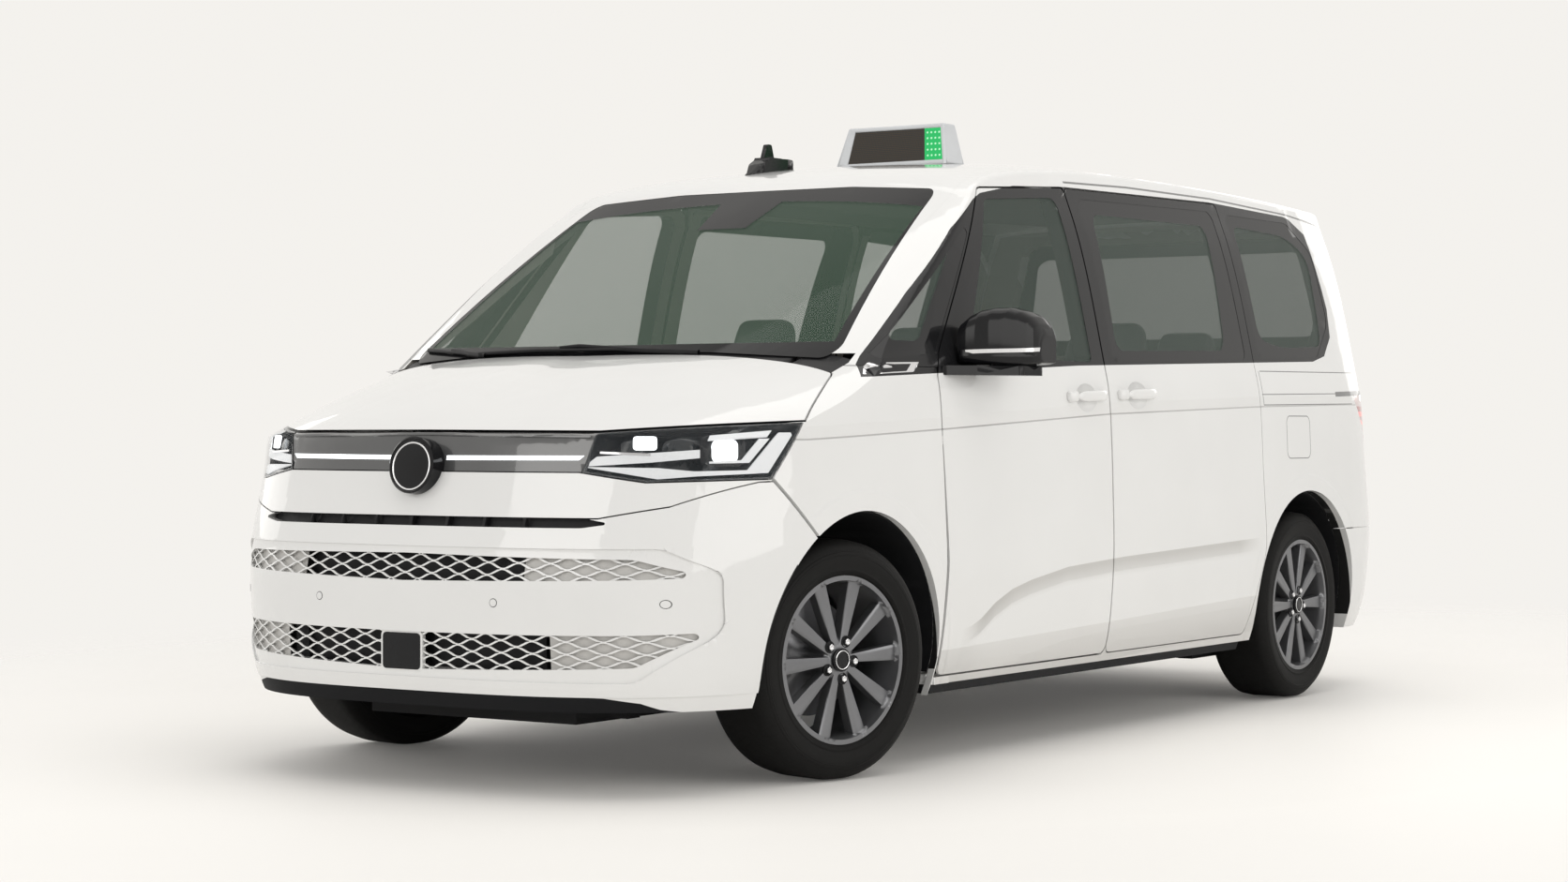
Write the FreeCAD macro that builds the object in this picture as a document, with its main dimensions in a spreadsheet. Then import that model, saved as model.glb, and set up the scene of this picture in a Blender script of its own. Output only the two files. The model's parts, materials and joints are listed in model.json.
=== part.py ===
# Taxi cab: a large people carrier with a roof sign, two hinged and two sliding doors.
# +X points forward, +Y to the vehicle's left and +Z up; the origin is on the floor, midway along.
import FreeCAD, Part
import Sketcher
import math
import os

V = FreeCAD.Vector
doc = FreeCAD.newDocument("TaxiCab")

# Driving sizes, in millimetres and degrees
SIZES = [
    ("wheelbase", 3124),
    ("front_overhang", 912),
    ("rear_overhang", 937),
    ("body_width", 1941),
    ("roof_height", 1903),
    ("belt_height", 1232),
    ("sill_height", 268),
    ("track", 1641),
    ("tyre_radius", 347),
    ("tyre_width", 235),
    ("rim_radius", 243),
    ("rim_width", 218),
    ("arch_radius", 435),
    ("arch_rise", 340),
    ("steer_rest", 13),
    ("kingpin_inset", 127),
    ("kingpin_lean", 11.6),
    ("hinge_pin_radius", 6),
    ("seat_gap", 0.3),
    ("stub_radius", 30),
    ("hub_radius", 62),
    ("running_fit", 0.05),
    ("front_disc_radius", 170),
    ("rear_disc_radius", 155),
    ("disc_thickness", 26),
    ("disc_inset", 30),
    ("caliper_width", 84),
    ("spoke_depth", 34),
    ("spoke_root", 20),
    ("spoke_tip", 46),
    ("brake_clearance", 5),
    ("door_thickness", 62),
    ("skin_thickness", 8),
    ("inner_step", 20),
    ("roof_thickness", 42),
    ("wall_thickness", 55),
    ("bonnet_thickness", 28),
    ("wing_thickness", 22),
    ("bumper_thickness", 34),
    ("glass_set", 1),
    ("glass_thickness", 5),
    ("moving_gap", 6),
    ("shut_gap", 4),
    ("floor_height", 330),
    ("floor_thickness", 60),
    ("liner_thickness", 5),
    ("liner_inner", 492),
    ("seat_width", 520),
    ("seat_depth", 500),
    ("seat_thickness", 130),
    ("seat_height", 690),
    ("front_seat_spacing", 860),
    ("sign_length", 456),
    ("sign_height", 146),
    ("sign_depth", 138),
    ("mirror_reach", 2252),
    ("steering_wheel_radius", 185),
    ("edge_radius", 25),
    ("exhaust_radius", 28),
]
sheet = doc.addObject("Spreadsheet::Sheet", "Sizes")
for row, (alias, value) in enumerate(SIZES, start=1):
    sheet.set("A%d" % row, alias)
    sheet.set("B%d" % row, str(value))
    sheet.setAlias("B%d" % row, alias)
doc.recompute()


class Size:
    """A size with its number and the expression that ties it to the spreadsheet."""

    def __init__(self, text, value):
        self.text = text
        self.value = value

    def join(self, sign, other, value):
        text = other.text if isinstance(other, Size) else repr(other)
        return Size("(%s %s %s)" % (self.text, sign, text), value)

    def __add__(self, other):
        return self.join("+", other, self.value + number(other))

    def __sub__(self, other):
        return self.join("-", other, self.value - number(other))

    def __mul__(self, other):
        return self.join("*", other, self.value * number(other))

    def __truediv__(self, other):
        return self.join("/", other, self.value / number(other))

    def __neg__(self):
        return Size("(0 - %s)" % self.text, -self.value)


def number(size):
    return size.value if isinstance(size, Size) else float(size)


def text(size):
    return size.text if isinstance(size, Size) else repr(float(size))


def named(alias):
    return Size("Sizes.%s" % alias, float(sheet.get(alias)))


def bind(target, path, size):
    target.setExpression(path, text(size))


# Places that follow from the driving sizes
wheelbase = named("wheelbase")
half_length = (named("front_overhang") + wheelbase + named("rear_overhang")) / 2
front_axle = half_length - named("front_overhang")
rear_axle = front_axle - wheelbase
half_width = named("body_width") / 2
FRONT = front_axle.value
REAR = rear_axle.value
WIDE = half_width.value
ROOF = number(named("roof_height"))
BELT = number(named("belt_height"))
SILL = number(named("sill_height"))
GAP = number(named("shut_gap"))
MOVING_GAP = number(named("moving_gap"))
SEATED = number(named("seat_gap"))
parts = {}


def add_feature(name, shape):
    """A sub-part whose shape is worked out from the sizes above."""
    feature = doc.addObject("Part::Feature", name)
    feature.Shape = shape
    feature.Label = name
    parts[name] = feature
    return feature


# Outlines


def rounded_wire(points, place):
    """A closed outline through (u, v, corner radius) points, each set in space by place(u, v)."""
    corners = [(place(u, v), r) for u, v, r in points]
    count = len(corners)
    ends = []
    for i in range(count):
        here, radius = corners[i]
        before = corners[i - 1][0] - here
        after = corners[(i + 1) % count][0] - here
        if radius <= 0:
            ends.append((here, None, here))
            continue
        angle = before.getAngle(after)
        reach = radius / math.tan(angle / 2)
        first = here + before.normalize() * reach
        last = here + after.normalize() * reach
        bisector = (first + last) * 0.5 - here
        centre = here + bisector.normalize() * (radius / math.sin(angle / 2))
        middle = centre + (here - centre).normalize() * radius
        ends.append((first, middle, last))
    edges = []
    for i in range(count):
        first, middle, last = ends[i]
        if middle is not None:
            edges.append(Part.Arc(first, middle, last).toShape())
        following = ends[(i + 1) % count][0]
        if last.distanceToPoint(following) > 0.01:
            edges.append(Part.makeLine(last, following))
    return Part.Wire(edges)


def prism(points, place, sweep):
    """The outline made a face and swept along a vector."""
    return Part.Face(rounded_wire(points, place)).extrude(sweep)


def side_prism(points, y_low=300.0, y_high=1200.0):
    """A side view outline, x from the front axle and z, swept across the left side."""
    return prism(points, lambda u, v: V(FRONT + u, y_low, v), V(0, y_high - y_low, 0))


def front_prism(points, x_low, x_high):
    """A front view outline, y and z, swept from x_low to x_high, both from the front axle."""
    return prism(points, lambda u, v: V(FRONT + x_low, u, v), V(x_high - x_low, 0, 0))


def plan_prism(points, z_low, z_high):
    """A plan outline, x from the front axle and y, swept upwards."""
    return prism(points, lambda u, v: V(FRONT + u, v, z_low), V(0, 0, z_high - z_low))


def rear(x):
    """A distance behind the front axle that moves with the rear axle."""
    return x + 3124.0 - wheelbase.value


def mirrored(shape):
    return shape.mirror(V(0, 0, 0), V(0, 1, 0))


def pair(shape):
    return Part.Compound([shape, mirrored(shape)])


def block(x_low, x_high, y_low, y_high, z_low, z_high):
    return Part.makeBox(x_high - x_low, y_high - y_low, z_high - z_low, V(FRONT + x_low, y_low, z_low))


def solids(shape, smallest=2000.0):
    """The solids of a cut, without slivers."""
    kept = [solid for solid in shape.Solids if solid.Volume > smallest]
    return kept[0] if len(kept) == 1 else Part.Compound(kept)


# Master form of the body: plan outlines at rising heights, cut by the bonnet, screen and roof
CORNER_STEPS = 8
REAR_ROUNDNESS = 4.0
REAR_KNEE = 200.0


def quarter(z, end_x, knee_x, reach_y, roundness):
    """A rounded corner of the plan outline, from the middle of the end to the straight side."""
    points = []
    for step in range(CORNER_STEPS + 1):
        turn = math.pi / 2 * step / CORNER_STEPS
        c = math.cos(turn) if step < CORNER_STEPS else 0.0
        s = math.sin(turn) if step else 0.0
        r = (c**roundness + s**roundness) ** (-1 / roundness)
        points.append(V(knee_x + (end_x - knee_x) * r * c, reach_y * r * s, z))
    curve = Part.BSplineCurve()
    steps = [step / CORNER_STEPS for step in range(CORNER_STEPS + 1)]
    curve.interpolate(Points=points, Parameters=steps)
    return curve.toShape()


# Each level: height, nose and flank and tail set in from the widest, roundness and knee of the nose
PLAN_LEVELS = [
    (150.0, 60, 75, 110, 3.2, -150),
    (235.0, 30, 50, 70, 3.2, -150),
    (300.0, 12, 30, 34, 3.2, -150),
    (450.0, 3, 9, 7, 3.2, -150),
    (620.0, 9, 0, 3, 3.2, -150),
    (760.0, 44, 2, 30, 3.2, -150),
    (900.0, 86, 5, 60, 3.2, -150),
    (1010.0, 109, 9, 76, 3.2, -150),
    (1110.0, 140, 15, 82, 3.1, -300),
    (BELT - 2, 260, 36, 98, 2.7, -600),
    (ROOF - 403, 512, 94, 112, 2.5, -800),
    (ROOF - 203, 712, 150, 128, 2.5, -900),
    (ROOF - 103, 812, 186, 136, 2.5, -1000),
    (ROOF + 27, 940, 250, 148, 2.5, -1100),
]

# Each line: distance from the middle, then the bonnet, windscreen and roof curves from the front axle
TOP_LINES = [
    (0.0, [(1060, -1043), (803, -901), (450, -763), (60, -671)], [(-440, -371), (-936, -97)],
     [(-1048, -46), (-1300, -3), (-1750, 16), (-2500, 16), (-3300, 0), (-4300, -52)]),
    (450.0, [(1050, -1048), (770, -902), (430, -773), (25, -673)], [(-450, -379), (-925, -107)],
     [(-1040, -52), (-1300, -15), (-1750, 7), (-2500, 7), (-3300, -9), (-4300, -62)]),
    (760.0, [(960, -1053), (600, -900), (330, -803), (-60, -685)], [(-470, -403), (-870, -155)],
     [(-1020, -86), (-1300, -50), (-1750, -27), (-2500, -25), (-3300, -42), (-4300, -97)]),
    (930.0, [(800, -1103), (300, -881), (170, -828), (-120, -723)], [(-480, -463), (-830, -218)],
     [(-1000, -150), (-1300, -112), (-1750, -92), (-2500, -90), (-3300, -108), (-4300, -163)]),
    (1000.0, [(780, -1143), (250, -913), (120, -863), (-150, -753)], [(-490, -498), (-815, -250)],
     [(-990, -185), (-1300, -148), (-1750, -128), (-2500, -126), (-3300, -144), (-4300, -200)]),
]


def plan_wire(level, inset):
    z, nose, flank, tail, roundness, knee = level
    reach_y = WIDE - flank - inset
    nose_x = half_length.value - nose - inset
    tail_x = -half_length.value + tail + inset
    front_knee = FRONT + knee
    rear_knee = REAR - REAR_KNEE
    front_left = quarter(z, nose_x, front_knee, reach_y, roundness)
    rear_left = quarter(z, tail_x, rear_knee, reach_y, REAR_ROUNDNESS)
    left = Part.makeLine(V(front_knee, reach_y, z), V(rear_knee, reach_y, z))
    edges = [front_left, left, rear_left]
    edges += [mirrored(rear_left), mirrored(left), mirrored(front_left)]
    return Part.Wire(Part.__sortEdges__(edges))


def side_curve(points, y, inset):
    curve = Part.BSplineCurve()
    places = [V(FRONT + (x if x > -2000 else rear(x)), y, ROOF + z - inset) for x, z in points]
    steps = [step / (len(points) - 1.0) for step in range(len(points))]
    curve.interpolate(Points=places, Parameters=steps)
    return curve.toShape()


def top_wire(line, side, inset):
    y, bonnet, screen, roof = line
    y = y * side
    curves = [bonnet, bonnet[-1:] + screen, screen[-1:] + roof]
    edges = [side_curve(points, y, inset) for points in curves]
    start = edges[0].Vertexes[0].Point
    end = edges[-1].Vertexes[-1].Point
    edges.append(Part.makeLine(end, V(end.x, y, 0)))
    edges.append(Part.makeLine(V(end.x, y, 0), V(start.x, y, 0)))
    edges.append(Part.makeLine(V(start.x, y, 0), start))
    return Part.Wire(edges)


def body_form(inset):
    """The body's outer form, moved inwards by inset."""
    plan = Part.makeLoft([plan_wire(level, inset) for level in PLAN_LEVELS], True, False)
    lines = [(line, -1) for line in reversed(TOP_LINES[1:])] + [(line, 1) for line in TOP_LINES]
    top = Part.makeLoft([top_wire(line, side, inset) for line, side in lines], True, False)
    return top.common(plan).Solids[0]


def softened(form):
    """Rounds the pillar and roof edges of the outer form."""
    edges = []
    for edge in form.Edges:
        box = edge.BoundBox
        off_middle = box.YMin > 300 or box.YMax < -300
        if off_middle and box.ZMin > 1000 and edge.Length > 300 and box.ZMax - box.ZMin < 900:
            edges.append(edge)
    return form.makeFillet(number(named("edge_radius")), edges)


forms = {0.0: softened(body_form(0.0))}


def form_at(inset):
    if inset not in forms:
        forms[inset] = body_form(inset)
    return forms[inset]


def layer(region, outer, inner):
    """The part of the body between two depths that lies in a region."""
    return region.common(form_at(outer)).cut(form_at(inner))


DOOR = number(named("door_thickness"))
SKIN = number(named("skin_thickness"))
STEP = number(named("inner_step"))
WALL = number(named("wall_thickness"))
ROOF_WALL = number(named("roof_thickness"))
BONNET_WALL = number(named("bonnet_thickness"))
WING_WALL = number(named("wing_thickness"))
BUMPER_WALL = number(named("bumper_thickness"))
PANE_OUT = number(named("glass_set"))
PANE_IN = PANE_OUT + number(named("glass_thickness"))
ARCH = number(named("arch_radius"))
ARCH_RISE = number(named("arch_rise"))
LINER = number(named("liner_thickness"))


def pane(region):
    """Window glass, just under the outer surface."""
    return layer(region, PANE_OUT, PANE_IN)


def widened(points, by):
    """A convex-ish outline with its points moved out from their middle, for gaps round a panel."""
    wire = rounded_wire([(u, v, 0) for u, v, r in points], lambda u, v: V(u, v, 0))
    moved = wire.makeOffset2D(by, 2)
    corners = [vertex.Point for vertex in moved.OrderedVertexes]
    start = V(points[0][0], points[0][1], 0)
    first = min(range(len(corners)), key=lambda i: corners[i].distanceToPoint(start))
    ordered = corners[first:] + corners[:first]
    step = V(points[1][0], points[1][1], 0)
    if ordered[1].distanceToPoint(step) > ordered[-1].distanceToPoint(step):
        ordered = ordered[:1] + ordered[1:][::-1]
    return [(p.x, p.y, r) for p, (u, v, r) in zip(ordered, points)]


# Side view outlines, x from the front axle
SILL_LOW = 212.0
SILL_SPLIT = 240.0
DOOR_SPLIT = -1532.0
SLIDE_END = rear(-2706.0)
DOOR_OUTLINE = [
    (-452, SILL, 30), (-470, 605, 400), (-443, 972, 600), (-440, 1168, 60), (-470, 1238, 20),
    (-938, 1771, 40), (DOOR_SPLIT + GAP, 1809, 20), (DOOR_SPLIT + GAP, 1219, 0),
    (DOOR_SPLIT + GAP - 8, SILL, 30),
]
DOOR_WINDOW = [
    (-640, 1236, 25), (-958, 1738, 50), (-1448, 1772, 40), (-1448, 1226, 25),
]
SLIDE_OUTLINE = [
    (DOOR_SPLIT - GAP - 8, SILL, 30), (DOOR_SPLIT - GAP, 1219, 0), (DOOR_SPLIT - GAP, 1808, 20),
    (SLIDE_END, 1826, 20), (SLIDE_END, 1250, 0), (SLIDE_END - 8, 857, 300),
    (rear(-2740), 560, 200), (rear(-2612), SILL, 30),
]
SLIDE_WINDOW = [
    (DOOR_SPLIT - 70, 1228, 30), (DOOR_SPLIT - 70, 1778, 40),
    (SLIDE_END + 60, 1796, 40), (SLIDE_END + 60, 1256, 30),
]
QUARTER_WINDOW = [
    (SLIDE_END - 50, 1262, 30), (SLIDE_END - 50, 1792, 40), (rear(-3300), 1790, 60),
    (rear(-3446), 1686, 60), (rear(-3448), 1406, 90), (rear(-3290), 1276, 60),
]
MIDDLE_PILLAR = [
    (DOOR_SPLIT - 20, SILL_SPLIT, 0), (DOOR_SPLIT + 10, SILL_SPLIT, 0), (DOOR_SPLIT + 18, 1219, 0),
    (DOOR_SPLIT + 6, 1830, 0), (DOOR_SPLIT - 20, 1830, 0),
]
PILLAR_WINDOW = [(-120, 1212, 12), (-842, 1681, 12), (-446, 1236, 12)]
SCREEN_OUTLINE = [
    (812, 1216, 40), (676, 1772, 50), (340, 1794, 500), (-340, 1794, 500), (-676, 1772, 50),
    (-812, 1216, 40), (-430, 1238, 900), (430, 1238, 900),
]
TAILGATE_X = rear(-3700.0)
TAILGATE_OUTLINE = [
    (728, 2100, 0), (738, 1764, 60), (838, 1290, 200), (862, 1100, 100), (850, 640, 60),
    (-850, 640, 60), (-862, 1100, 100), (-838, 1290, 200), (-738, 1764, 60), (-728, 2100, 0),
]
REAR_WINDOW = [
    (620, 1770, 60), (745, 1310, 70), (-745, 1310, 70), (-620, 1770, 60),
]
ROOF_HALF = 742.0
LAMP_BACK = [(-3575, 1134, 10), (-4300, 1150, 0), (-4300, 905, 0), (-3800, 905, 30), (-3745, 955, 30)]
BUMPER_TOP = 622.0
BACK_ARCH = rear(-3560.0)


def arch_cutter(axle, radius):
    """The round of a wheel opening on the left side."""
    cylinder = Part.makeCylinder(radius, 700, V(axle, 480, ARCH_RISE), V(0, 1, 0))
    well = Part.makeBox(radius * 2, 700, ARCH_RISE, V(axle - radius, 480, 0))
    return cylinder.fuse(well)


front_arch = arch_cutter(FRONT, ARCH)
rear_arch = arch_cutter(REAR, ARCH)

# Region of each panel
door_region = side_prism(DOOR_OUTLINE)
door_hole = side_prism(widened(DOOR_OUTLINE, MOVING_GAP))
slide_region = side_prism(SLIDE_OUTLINE)
slide_hole = side_prism(widened(SLIDE_OUTLINE, GAP))
roof_region = block(TAILGATE_X, -700, -ROOF_HALF, ROOF_HALF, 1500, 2000)
screen_region = front_prism(SCREEN_OUTLINE, -1200, 400)
tailgate_region = front_prism(TAILGATE_OUTLINE, rear(-4400), TAILGATE_X)
tailgate_hole = front_prism(widened(TAILGATE_OUTLINE, MOVING_GAP), rear(-4400), TAILGATE_X + MOVING_GAP)


# Door hinges: a pin held by two tabs on the hinge pillar, inside a barrel on the door
HINGE_X = -486.0
HINGE_Y = WIDE - 20.5
PIN = number(named("hinge_pin_radius"))
FIT = number(named("running_fit"))
BARREL_WALL = 4.0
BARREL_LENGTH = 60.0
TAB = 12.0
TAB_RADIUS = PIN + 1
HINGE_HEIGHTS = (560.0, 860.0)
PILLAR_IN = WIDE - 131
PILLAR_OUT = WIDE - 70
COWL_HALF = 850.0
FLOOR = number(named("floor_height"))
FLOOR_LOW = FLOOR - number(named("floor_thickness"))


def hinge_pins():
    pieces = []
    for z in HINGE_HEIGHTS:
        length = BARREL_LENGTH + 2 * (TAB + SEATED)
        pieces.append(Part.makeCylinder(PIN, length, V(FRONT + HINGE_X, HINGE_Y, z - length / 2)))
        for low in (z - length / 2, z + length / 2 - TAB):
            pieces.append(Part.makeCylinder(TAB_RADIUS, TAB, V(FRONT + HINGE_X, HINGE_Y, low)))
            tab_front = HINGE_X + TAB_RADIUS
            pieces.append(block(HINGE_X - TAB_RADIUS, tab_front, PILLAR_IN + 5, HINGE_Y, low, low + TAB))
    return pieces


def hinge_barrels():
    """The barrels and their arms, and the room that the door leaves round them."""
    barrels = []
    rooms = []
    for z in HINGE_HEIGHTS:
        low = z - BARREL_LENGTH / 2
        ring = Part.makeCylinder(PIN + BARREL_WALL, BARREL_LENGTH, V(FRONT + HINGE_X, HINGE_Y, low))
        arm = block(HINGE_X - 60, HINGE_X, HINGE_Y - 8, HINGE_Y + 8, low, low + BARREL_LENGTH)
        bore = Part.makeCylinder(PIN + FIT, BARREL_LENGTH + 2, V(FRONT + HINGE_X, HINGE_Y, low - 1))
        barrels.append(ring.fuse(arm).cut(bore))
        rooms.append(block(HINGE_X - 30, HINGE_X + 80, 700, HINGE_Y + 12, z - 70, z + 70))
    return barrels, rooms


# Body sides: sill, pillars, rail over the doors and rear quarter
def build_body_side():
    region = block(rear(-4400), 0, 1, 1200, SILL_SPLIT, 2100)
    side = layer(region, 0.0, WALL)
    side = side.cut(block(-440, 600, 1, 1200, 0, 1196))
    side = side.cut(block(-500, 600, 1, 1200, SILL - MOVING_GAP, 1196))
    side = side.cut(block(-440, 600, 1, COWL_HALF + SEATED, 0, 1232))
    side = side.cut(block(-440, 600, 1, 700, 1200, 1260))
    side = side.cut(Part.makeCompound([door_hole, slide_hole]))
    side = side.cut(roof_region).cut(screen_region).cut(tailgate_hole)
    side = side.cut(side_prism(PILLAR_WINDOW)).cut(side_prism(QUARTER_WINDOW))
    side = side.cut(rear_arch)
    side = side.cut(block(rear(-4400), BACK_ARCH + 300, 1, 1200, 0, BUMPER_TOP + GAP))
    side = side.cut(side_prism(widened([(rear(x), z, r) for x, z, r in LAMP_BACK], SEATED), 1, 1200))
    pillar = block(HINGE_X - 45, -440, PILLAR_IN, PILLAR_OUT, SILL_SPLIT, 1190)
    pillar = pillar.common(form_at(DOOR + MOVING_GAP))
    pillar = pillar.fuse(block(HINGE_X - 45, -445, PILLAR_IN, HINGE_Y - 20, SILL_SPLIT, SILL - MOVING_GAP))
    pillar = pillar.fuse(block(-448, -400, PILLAR_IN, WIDE - 60, 1100, 1215).common(form_at(30.0)))
    rail = block(rear(-2620), -440, PILLAR_IN, 1200, SILL_SPLIT, FLOOR_LOW - SEATED).common(form_at(30.0))
    middle = layer(side_prism(MIDDLE_PILLAR), SKIN + MOVING_GAP, DOOR + 5)
    middle = middle.cut(block(-2000, -1000, 1, ROOF_HALF, 1500, 2000))
    side = side.fuse([pillar, rail, middle] + hinge_pins())
    return solids(side)


body_side = build_body_side()
add_feature("body_side_left", body_side)
add_feature("body_side_right", mirrored(body_side))

# Roof between the windscreen and the tailgate
roof_edge = TAILGATE_X + GAP + MOVING_GAP
roof_block = block(roof_edge, -700, -ROOF_HALF + SEATED, ROOF_HALF - SEATED, 1500, 2000)
roof = layer(roof_block, 0.0, ROOF_WALL).cut(screen_region)
GATE_HINGE_X = TAILGATE_X + 40.0
GATE_HINGE_Z = ROOF - 40.0
GATE_HINGE_Y = 400.0
GATE_PIN = 5.0
gate_arms = []
for y in (-GATE_HINGE_Y, GATE_HINGE_Y):
    roof = roof.cut(block(roof_edge - 10, GATE_HINGE_X + 20, y - 28, y + 28, 1700, 2000))
    centre = V(FRONT + GATE_HINGE_X, y, GATE_HINGE_Z)
    roof = roof.fuse(Part.makeCylinder(GATE_PIN, 58, centre - V(0, 29, 0), V(0, 1, 0)))
    ring = Part.makeCylinder(GATE_PIN + BARREL_WALL, 55, centre - V(0, 27.5, 0), V(0, 1, 0))
    arm = block(TAILGATE_X - 40, GATE_HINGE_X, y - 20, y + 20, GATE_HINGE_Z - 12, GATE_HINGE_Z + 3)
    bore = Part.makeCylinder(GATE_PIN + FIT, 70, centre - V(0, 35, 0), V(0, 1, 0))
    gate_arms.append(ring.fuse(arm).cut(bore))
add_feature("roof", solids(roof))


# Doors: an outer skin over a smaller inner frame, so that the edges pass the pillars
def build_door(region, outline, window, hinged):
    outer = layer(region, 0.0, SKIN)
    inner = layer(side_prism(widened(outline, -STEP)), SKIN, DOOR)
    door = outer.fuse(inner).cut(side_prism(window))
    door = door.cut(block(rear(-2800), -400, 1, ROOF_HALF + MOVING_GAP, 1500, 2000))
    if hinged:
        barrels, rooms = hinge_barrels()
        room = Part.makeCompound(rooms).common(form_at(SKIN))
        door = door.cut(room).fuse(barrels)
    return solids(door)


front_door = build_door(door_region, DOOR_OUTLINE, DOOR_WINDOW, True)
sliding_door = build_door(slide_region, SLIDE_OUTLINE, SLIDE_WINDOW, False)
LATCH_HEIGHT = 930.0
latches = [
    block(SLIDE_END - GAP + SEATED, SLIDE_END + 40, 700, 1200, LATCH_HEIGHT, LATCH_HEIGHT + 50),
    block(DOOR_SPLIT - 80, DOOR_SPLIT - 20 - SEATED, 700, 1200, LATCH_HEIGHT, LATCH_HEIGHT + 50),
]
latches = [latch.common(form_at(20.0)).cut(form_at(WALL)) for latch in latches]
sliding_door = solids(sliding_door.cut(arch_cutter(REAR, ARCH)).fuse(latches))
add_feature("front_door_left", front_door)
add_feature("front_door_right", mirrored(front_door))
add_feature("sliding_door_left", sliding_door)
add_feature("sliding_door_right", mirrored(sliding_door))
door_glass = solids(pane(side_prism(DOOR_WINDOW)))
add_feature("door_glass_left", door_glass)
add_feature("door_glass_right", mirrored(door_glass))
slide_glass = solids(pane(side_prism(SLIDE_WINDOW)))
add_feature("sliding_door_glass", pair(slide_glass))
quarter_glass = pane(Part.makeCompound([side_prism(QUARTER_WINDOW), side_prism(PILLAR_WINDOW)]))
add_feature("quarter_glass", pair(solids(quarter_glass)))
add_feature("windscreen", solids(pane(screen_region)))

# Tailgate with its window
tailgate = layer(tailgate_region, 0.0, WALL)
tailgate = tailgate.cut(front_prism(REAR_WINDOW, rear(-4400), rear(-3760)))
add_feature("tailgate", solids(tailgate.fuse(gate_arms), 100000.0))
rear_glass = pane(front_prism(REAR_WINDOW, rear(-4400), rear(-3760)))
add_feature("tailgate_glass", solids(rear_glass, 100000.0))

# Bonnet, from the lamps back to the cowl
LAMP_TOP = [(0, 1003), (560, 1001), (930, 1030), (1100, 1044)]
BONNET_PLAN = [
    (1300, 1300, 0), (300, 940, 0), (262, 928, 10), (6, 852, 10), (30, 640, 200), (76, 0, 900),
    (30, -640, 200), (6, -852, 10), (262, -928, 10), (300, -940, 0), (1300, -1300, 0),
]


def above(line, rise, top=2200.0):
    """The front view region above a symmetric line of (y, z) points."""
    points = [(y, z + rise, 0) for y, z in line]
    points += [(line[-1][0], top, 0), (-line[-1][0], top, 0)]
    points += [(-y, z + rise, 0) for y, z in reversed(line) if y > 0]
    return front_prism(points, -600, 1400)


bonnet = layer(plan_prism(BONNET_PLAN, 800, 1400).common(above(LAMP_TOP, MOVING_GAP)), 0.0, BONNET_WALL)
BONNET_HINGE_X = -40.0
BONNET_HINGE_Z = BELT - 42.0
BONNET_HINGE_Y = 700.0
bonnet_slots = []
bonnet_pins = []
for y in (-BONNET_HINGE_Y, BONNET_HINGE_Y):
    centre = V(FRONT + BONNET_HINGE_X, y, BONNET_HINGE_Z)
    ring = Part.makeCylinder(PIN + BARREL_WALL, 24, centre - V(0, 12, 0), V(0, 1, 0))
    arm = block(BONNET_HINGE_X, 60, y - 6, y + 6, BONNET_HINGE_Z - 12, BONNET_HINGE_Z + 8)
    bore = Part.makeCylinder(PIN + FIT, 40, centre - V(0, 20, 0), V(0, 1, 0))
    bonnet = bonnet.fuse(ring.fuse(arm).common(form_at(4.0)).cut(bore))
    bonnet_slots.append(block(-60, 140, y - 13, y + 13, 1100, 1300))
    bonnet_pins.append(Part.makeCylinder(PIN, 50, centre - V(0, 25, 0), V(0, 1, 0)))
    for side in (-1, 1):
        low = y + side * 18.6 - 6
        start = BONNET_HINGE_X - 12
        bonnet_pins.append(block(start, start + 24, low, low + 12, BONNET_HINGE_Z - 9, BONNET_HINGE_Z + 10))
add_feature("bonnet", solids(bonnet, 100000.0))

# Headlamps, light strip between them and the panel below
LAMP_LOW = [(0, 893), (528, 893), (700, 865), (900, 872), (1100, 876)]
LAMP_EDGE = [(269, 1040, 0), (401, 874, 0), (405, 700, 0), (1300, 700, 0), (1300, 1200, 0), (260, 1200, 0)]
BUMPER_LINE = [(0, 768), (600, 768), (760, 800), (900, 866), (1100, 880)]


def between(low, high, low_gap, high_gap):
    return above(low, low_gap).cut(above(high, high_gap))


lamp_band = layer(between(LAMP_LOW, LAMP_TOP, 0, -1), 0.0, BUMPER_WALL)
lamp_inner = front_prism([(-530, 880, 0), (530, 880, 0), (562, 1010, 0), (-562, 1010, 0)], 300, 1400)
lamp_outer = side_prism(LAMP_EDGE, -1200, 1200)
LAMP_DEPTH = 86.0
LAMP_WALL = 5.0
LENS = 4.0
STRIP_ROOM = [(-532, 880, 0), (532, 880, 0), (564, 1010, 0), (-564, 1010, 0)]
lamp_space = between(LAMP_LOW, LAMP_TOP, 0, -1).common(lamp_outer).cut(front_prism(STRIP_ROOM, 300, 1400))
add_feature("headlamps", solids(layer(lamp_space, 0.0, LENS), 20000.0))
LAMP_EDGE_IN = [
    (277, 1040, 0), (409, 874, 0), (413, 700, 0), (1300, 700, 0), (1300, 1200, 0), (268, 1200, 0),
]
strip_side = [(y + math.copysign(LAMP_WALL, y), z + math.copysign(20, z - 900), 0) for y, z, r in STRIP_ROOM]
hollow = between(LAMP_LOW, LAMP_TOP, LAMP_WALL, -LAMP_WALL).common(side_prism(LAMP_EDGE_IN, -1200, 1200))
hollow = hollow.cut(front_prism(strip_side, 300, 1400))
lamp_unit = layer(lamp_space, LENS + SEATED, LAMP_DEPTH).cut(layer(hollow, 0.0, LAMP_DEPTH - LAMP_WALL))
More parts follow.
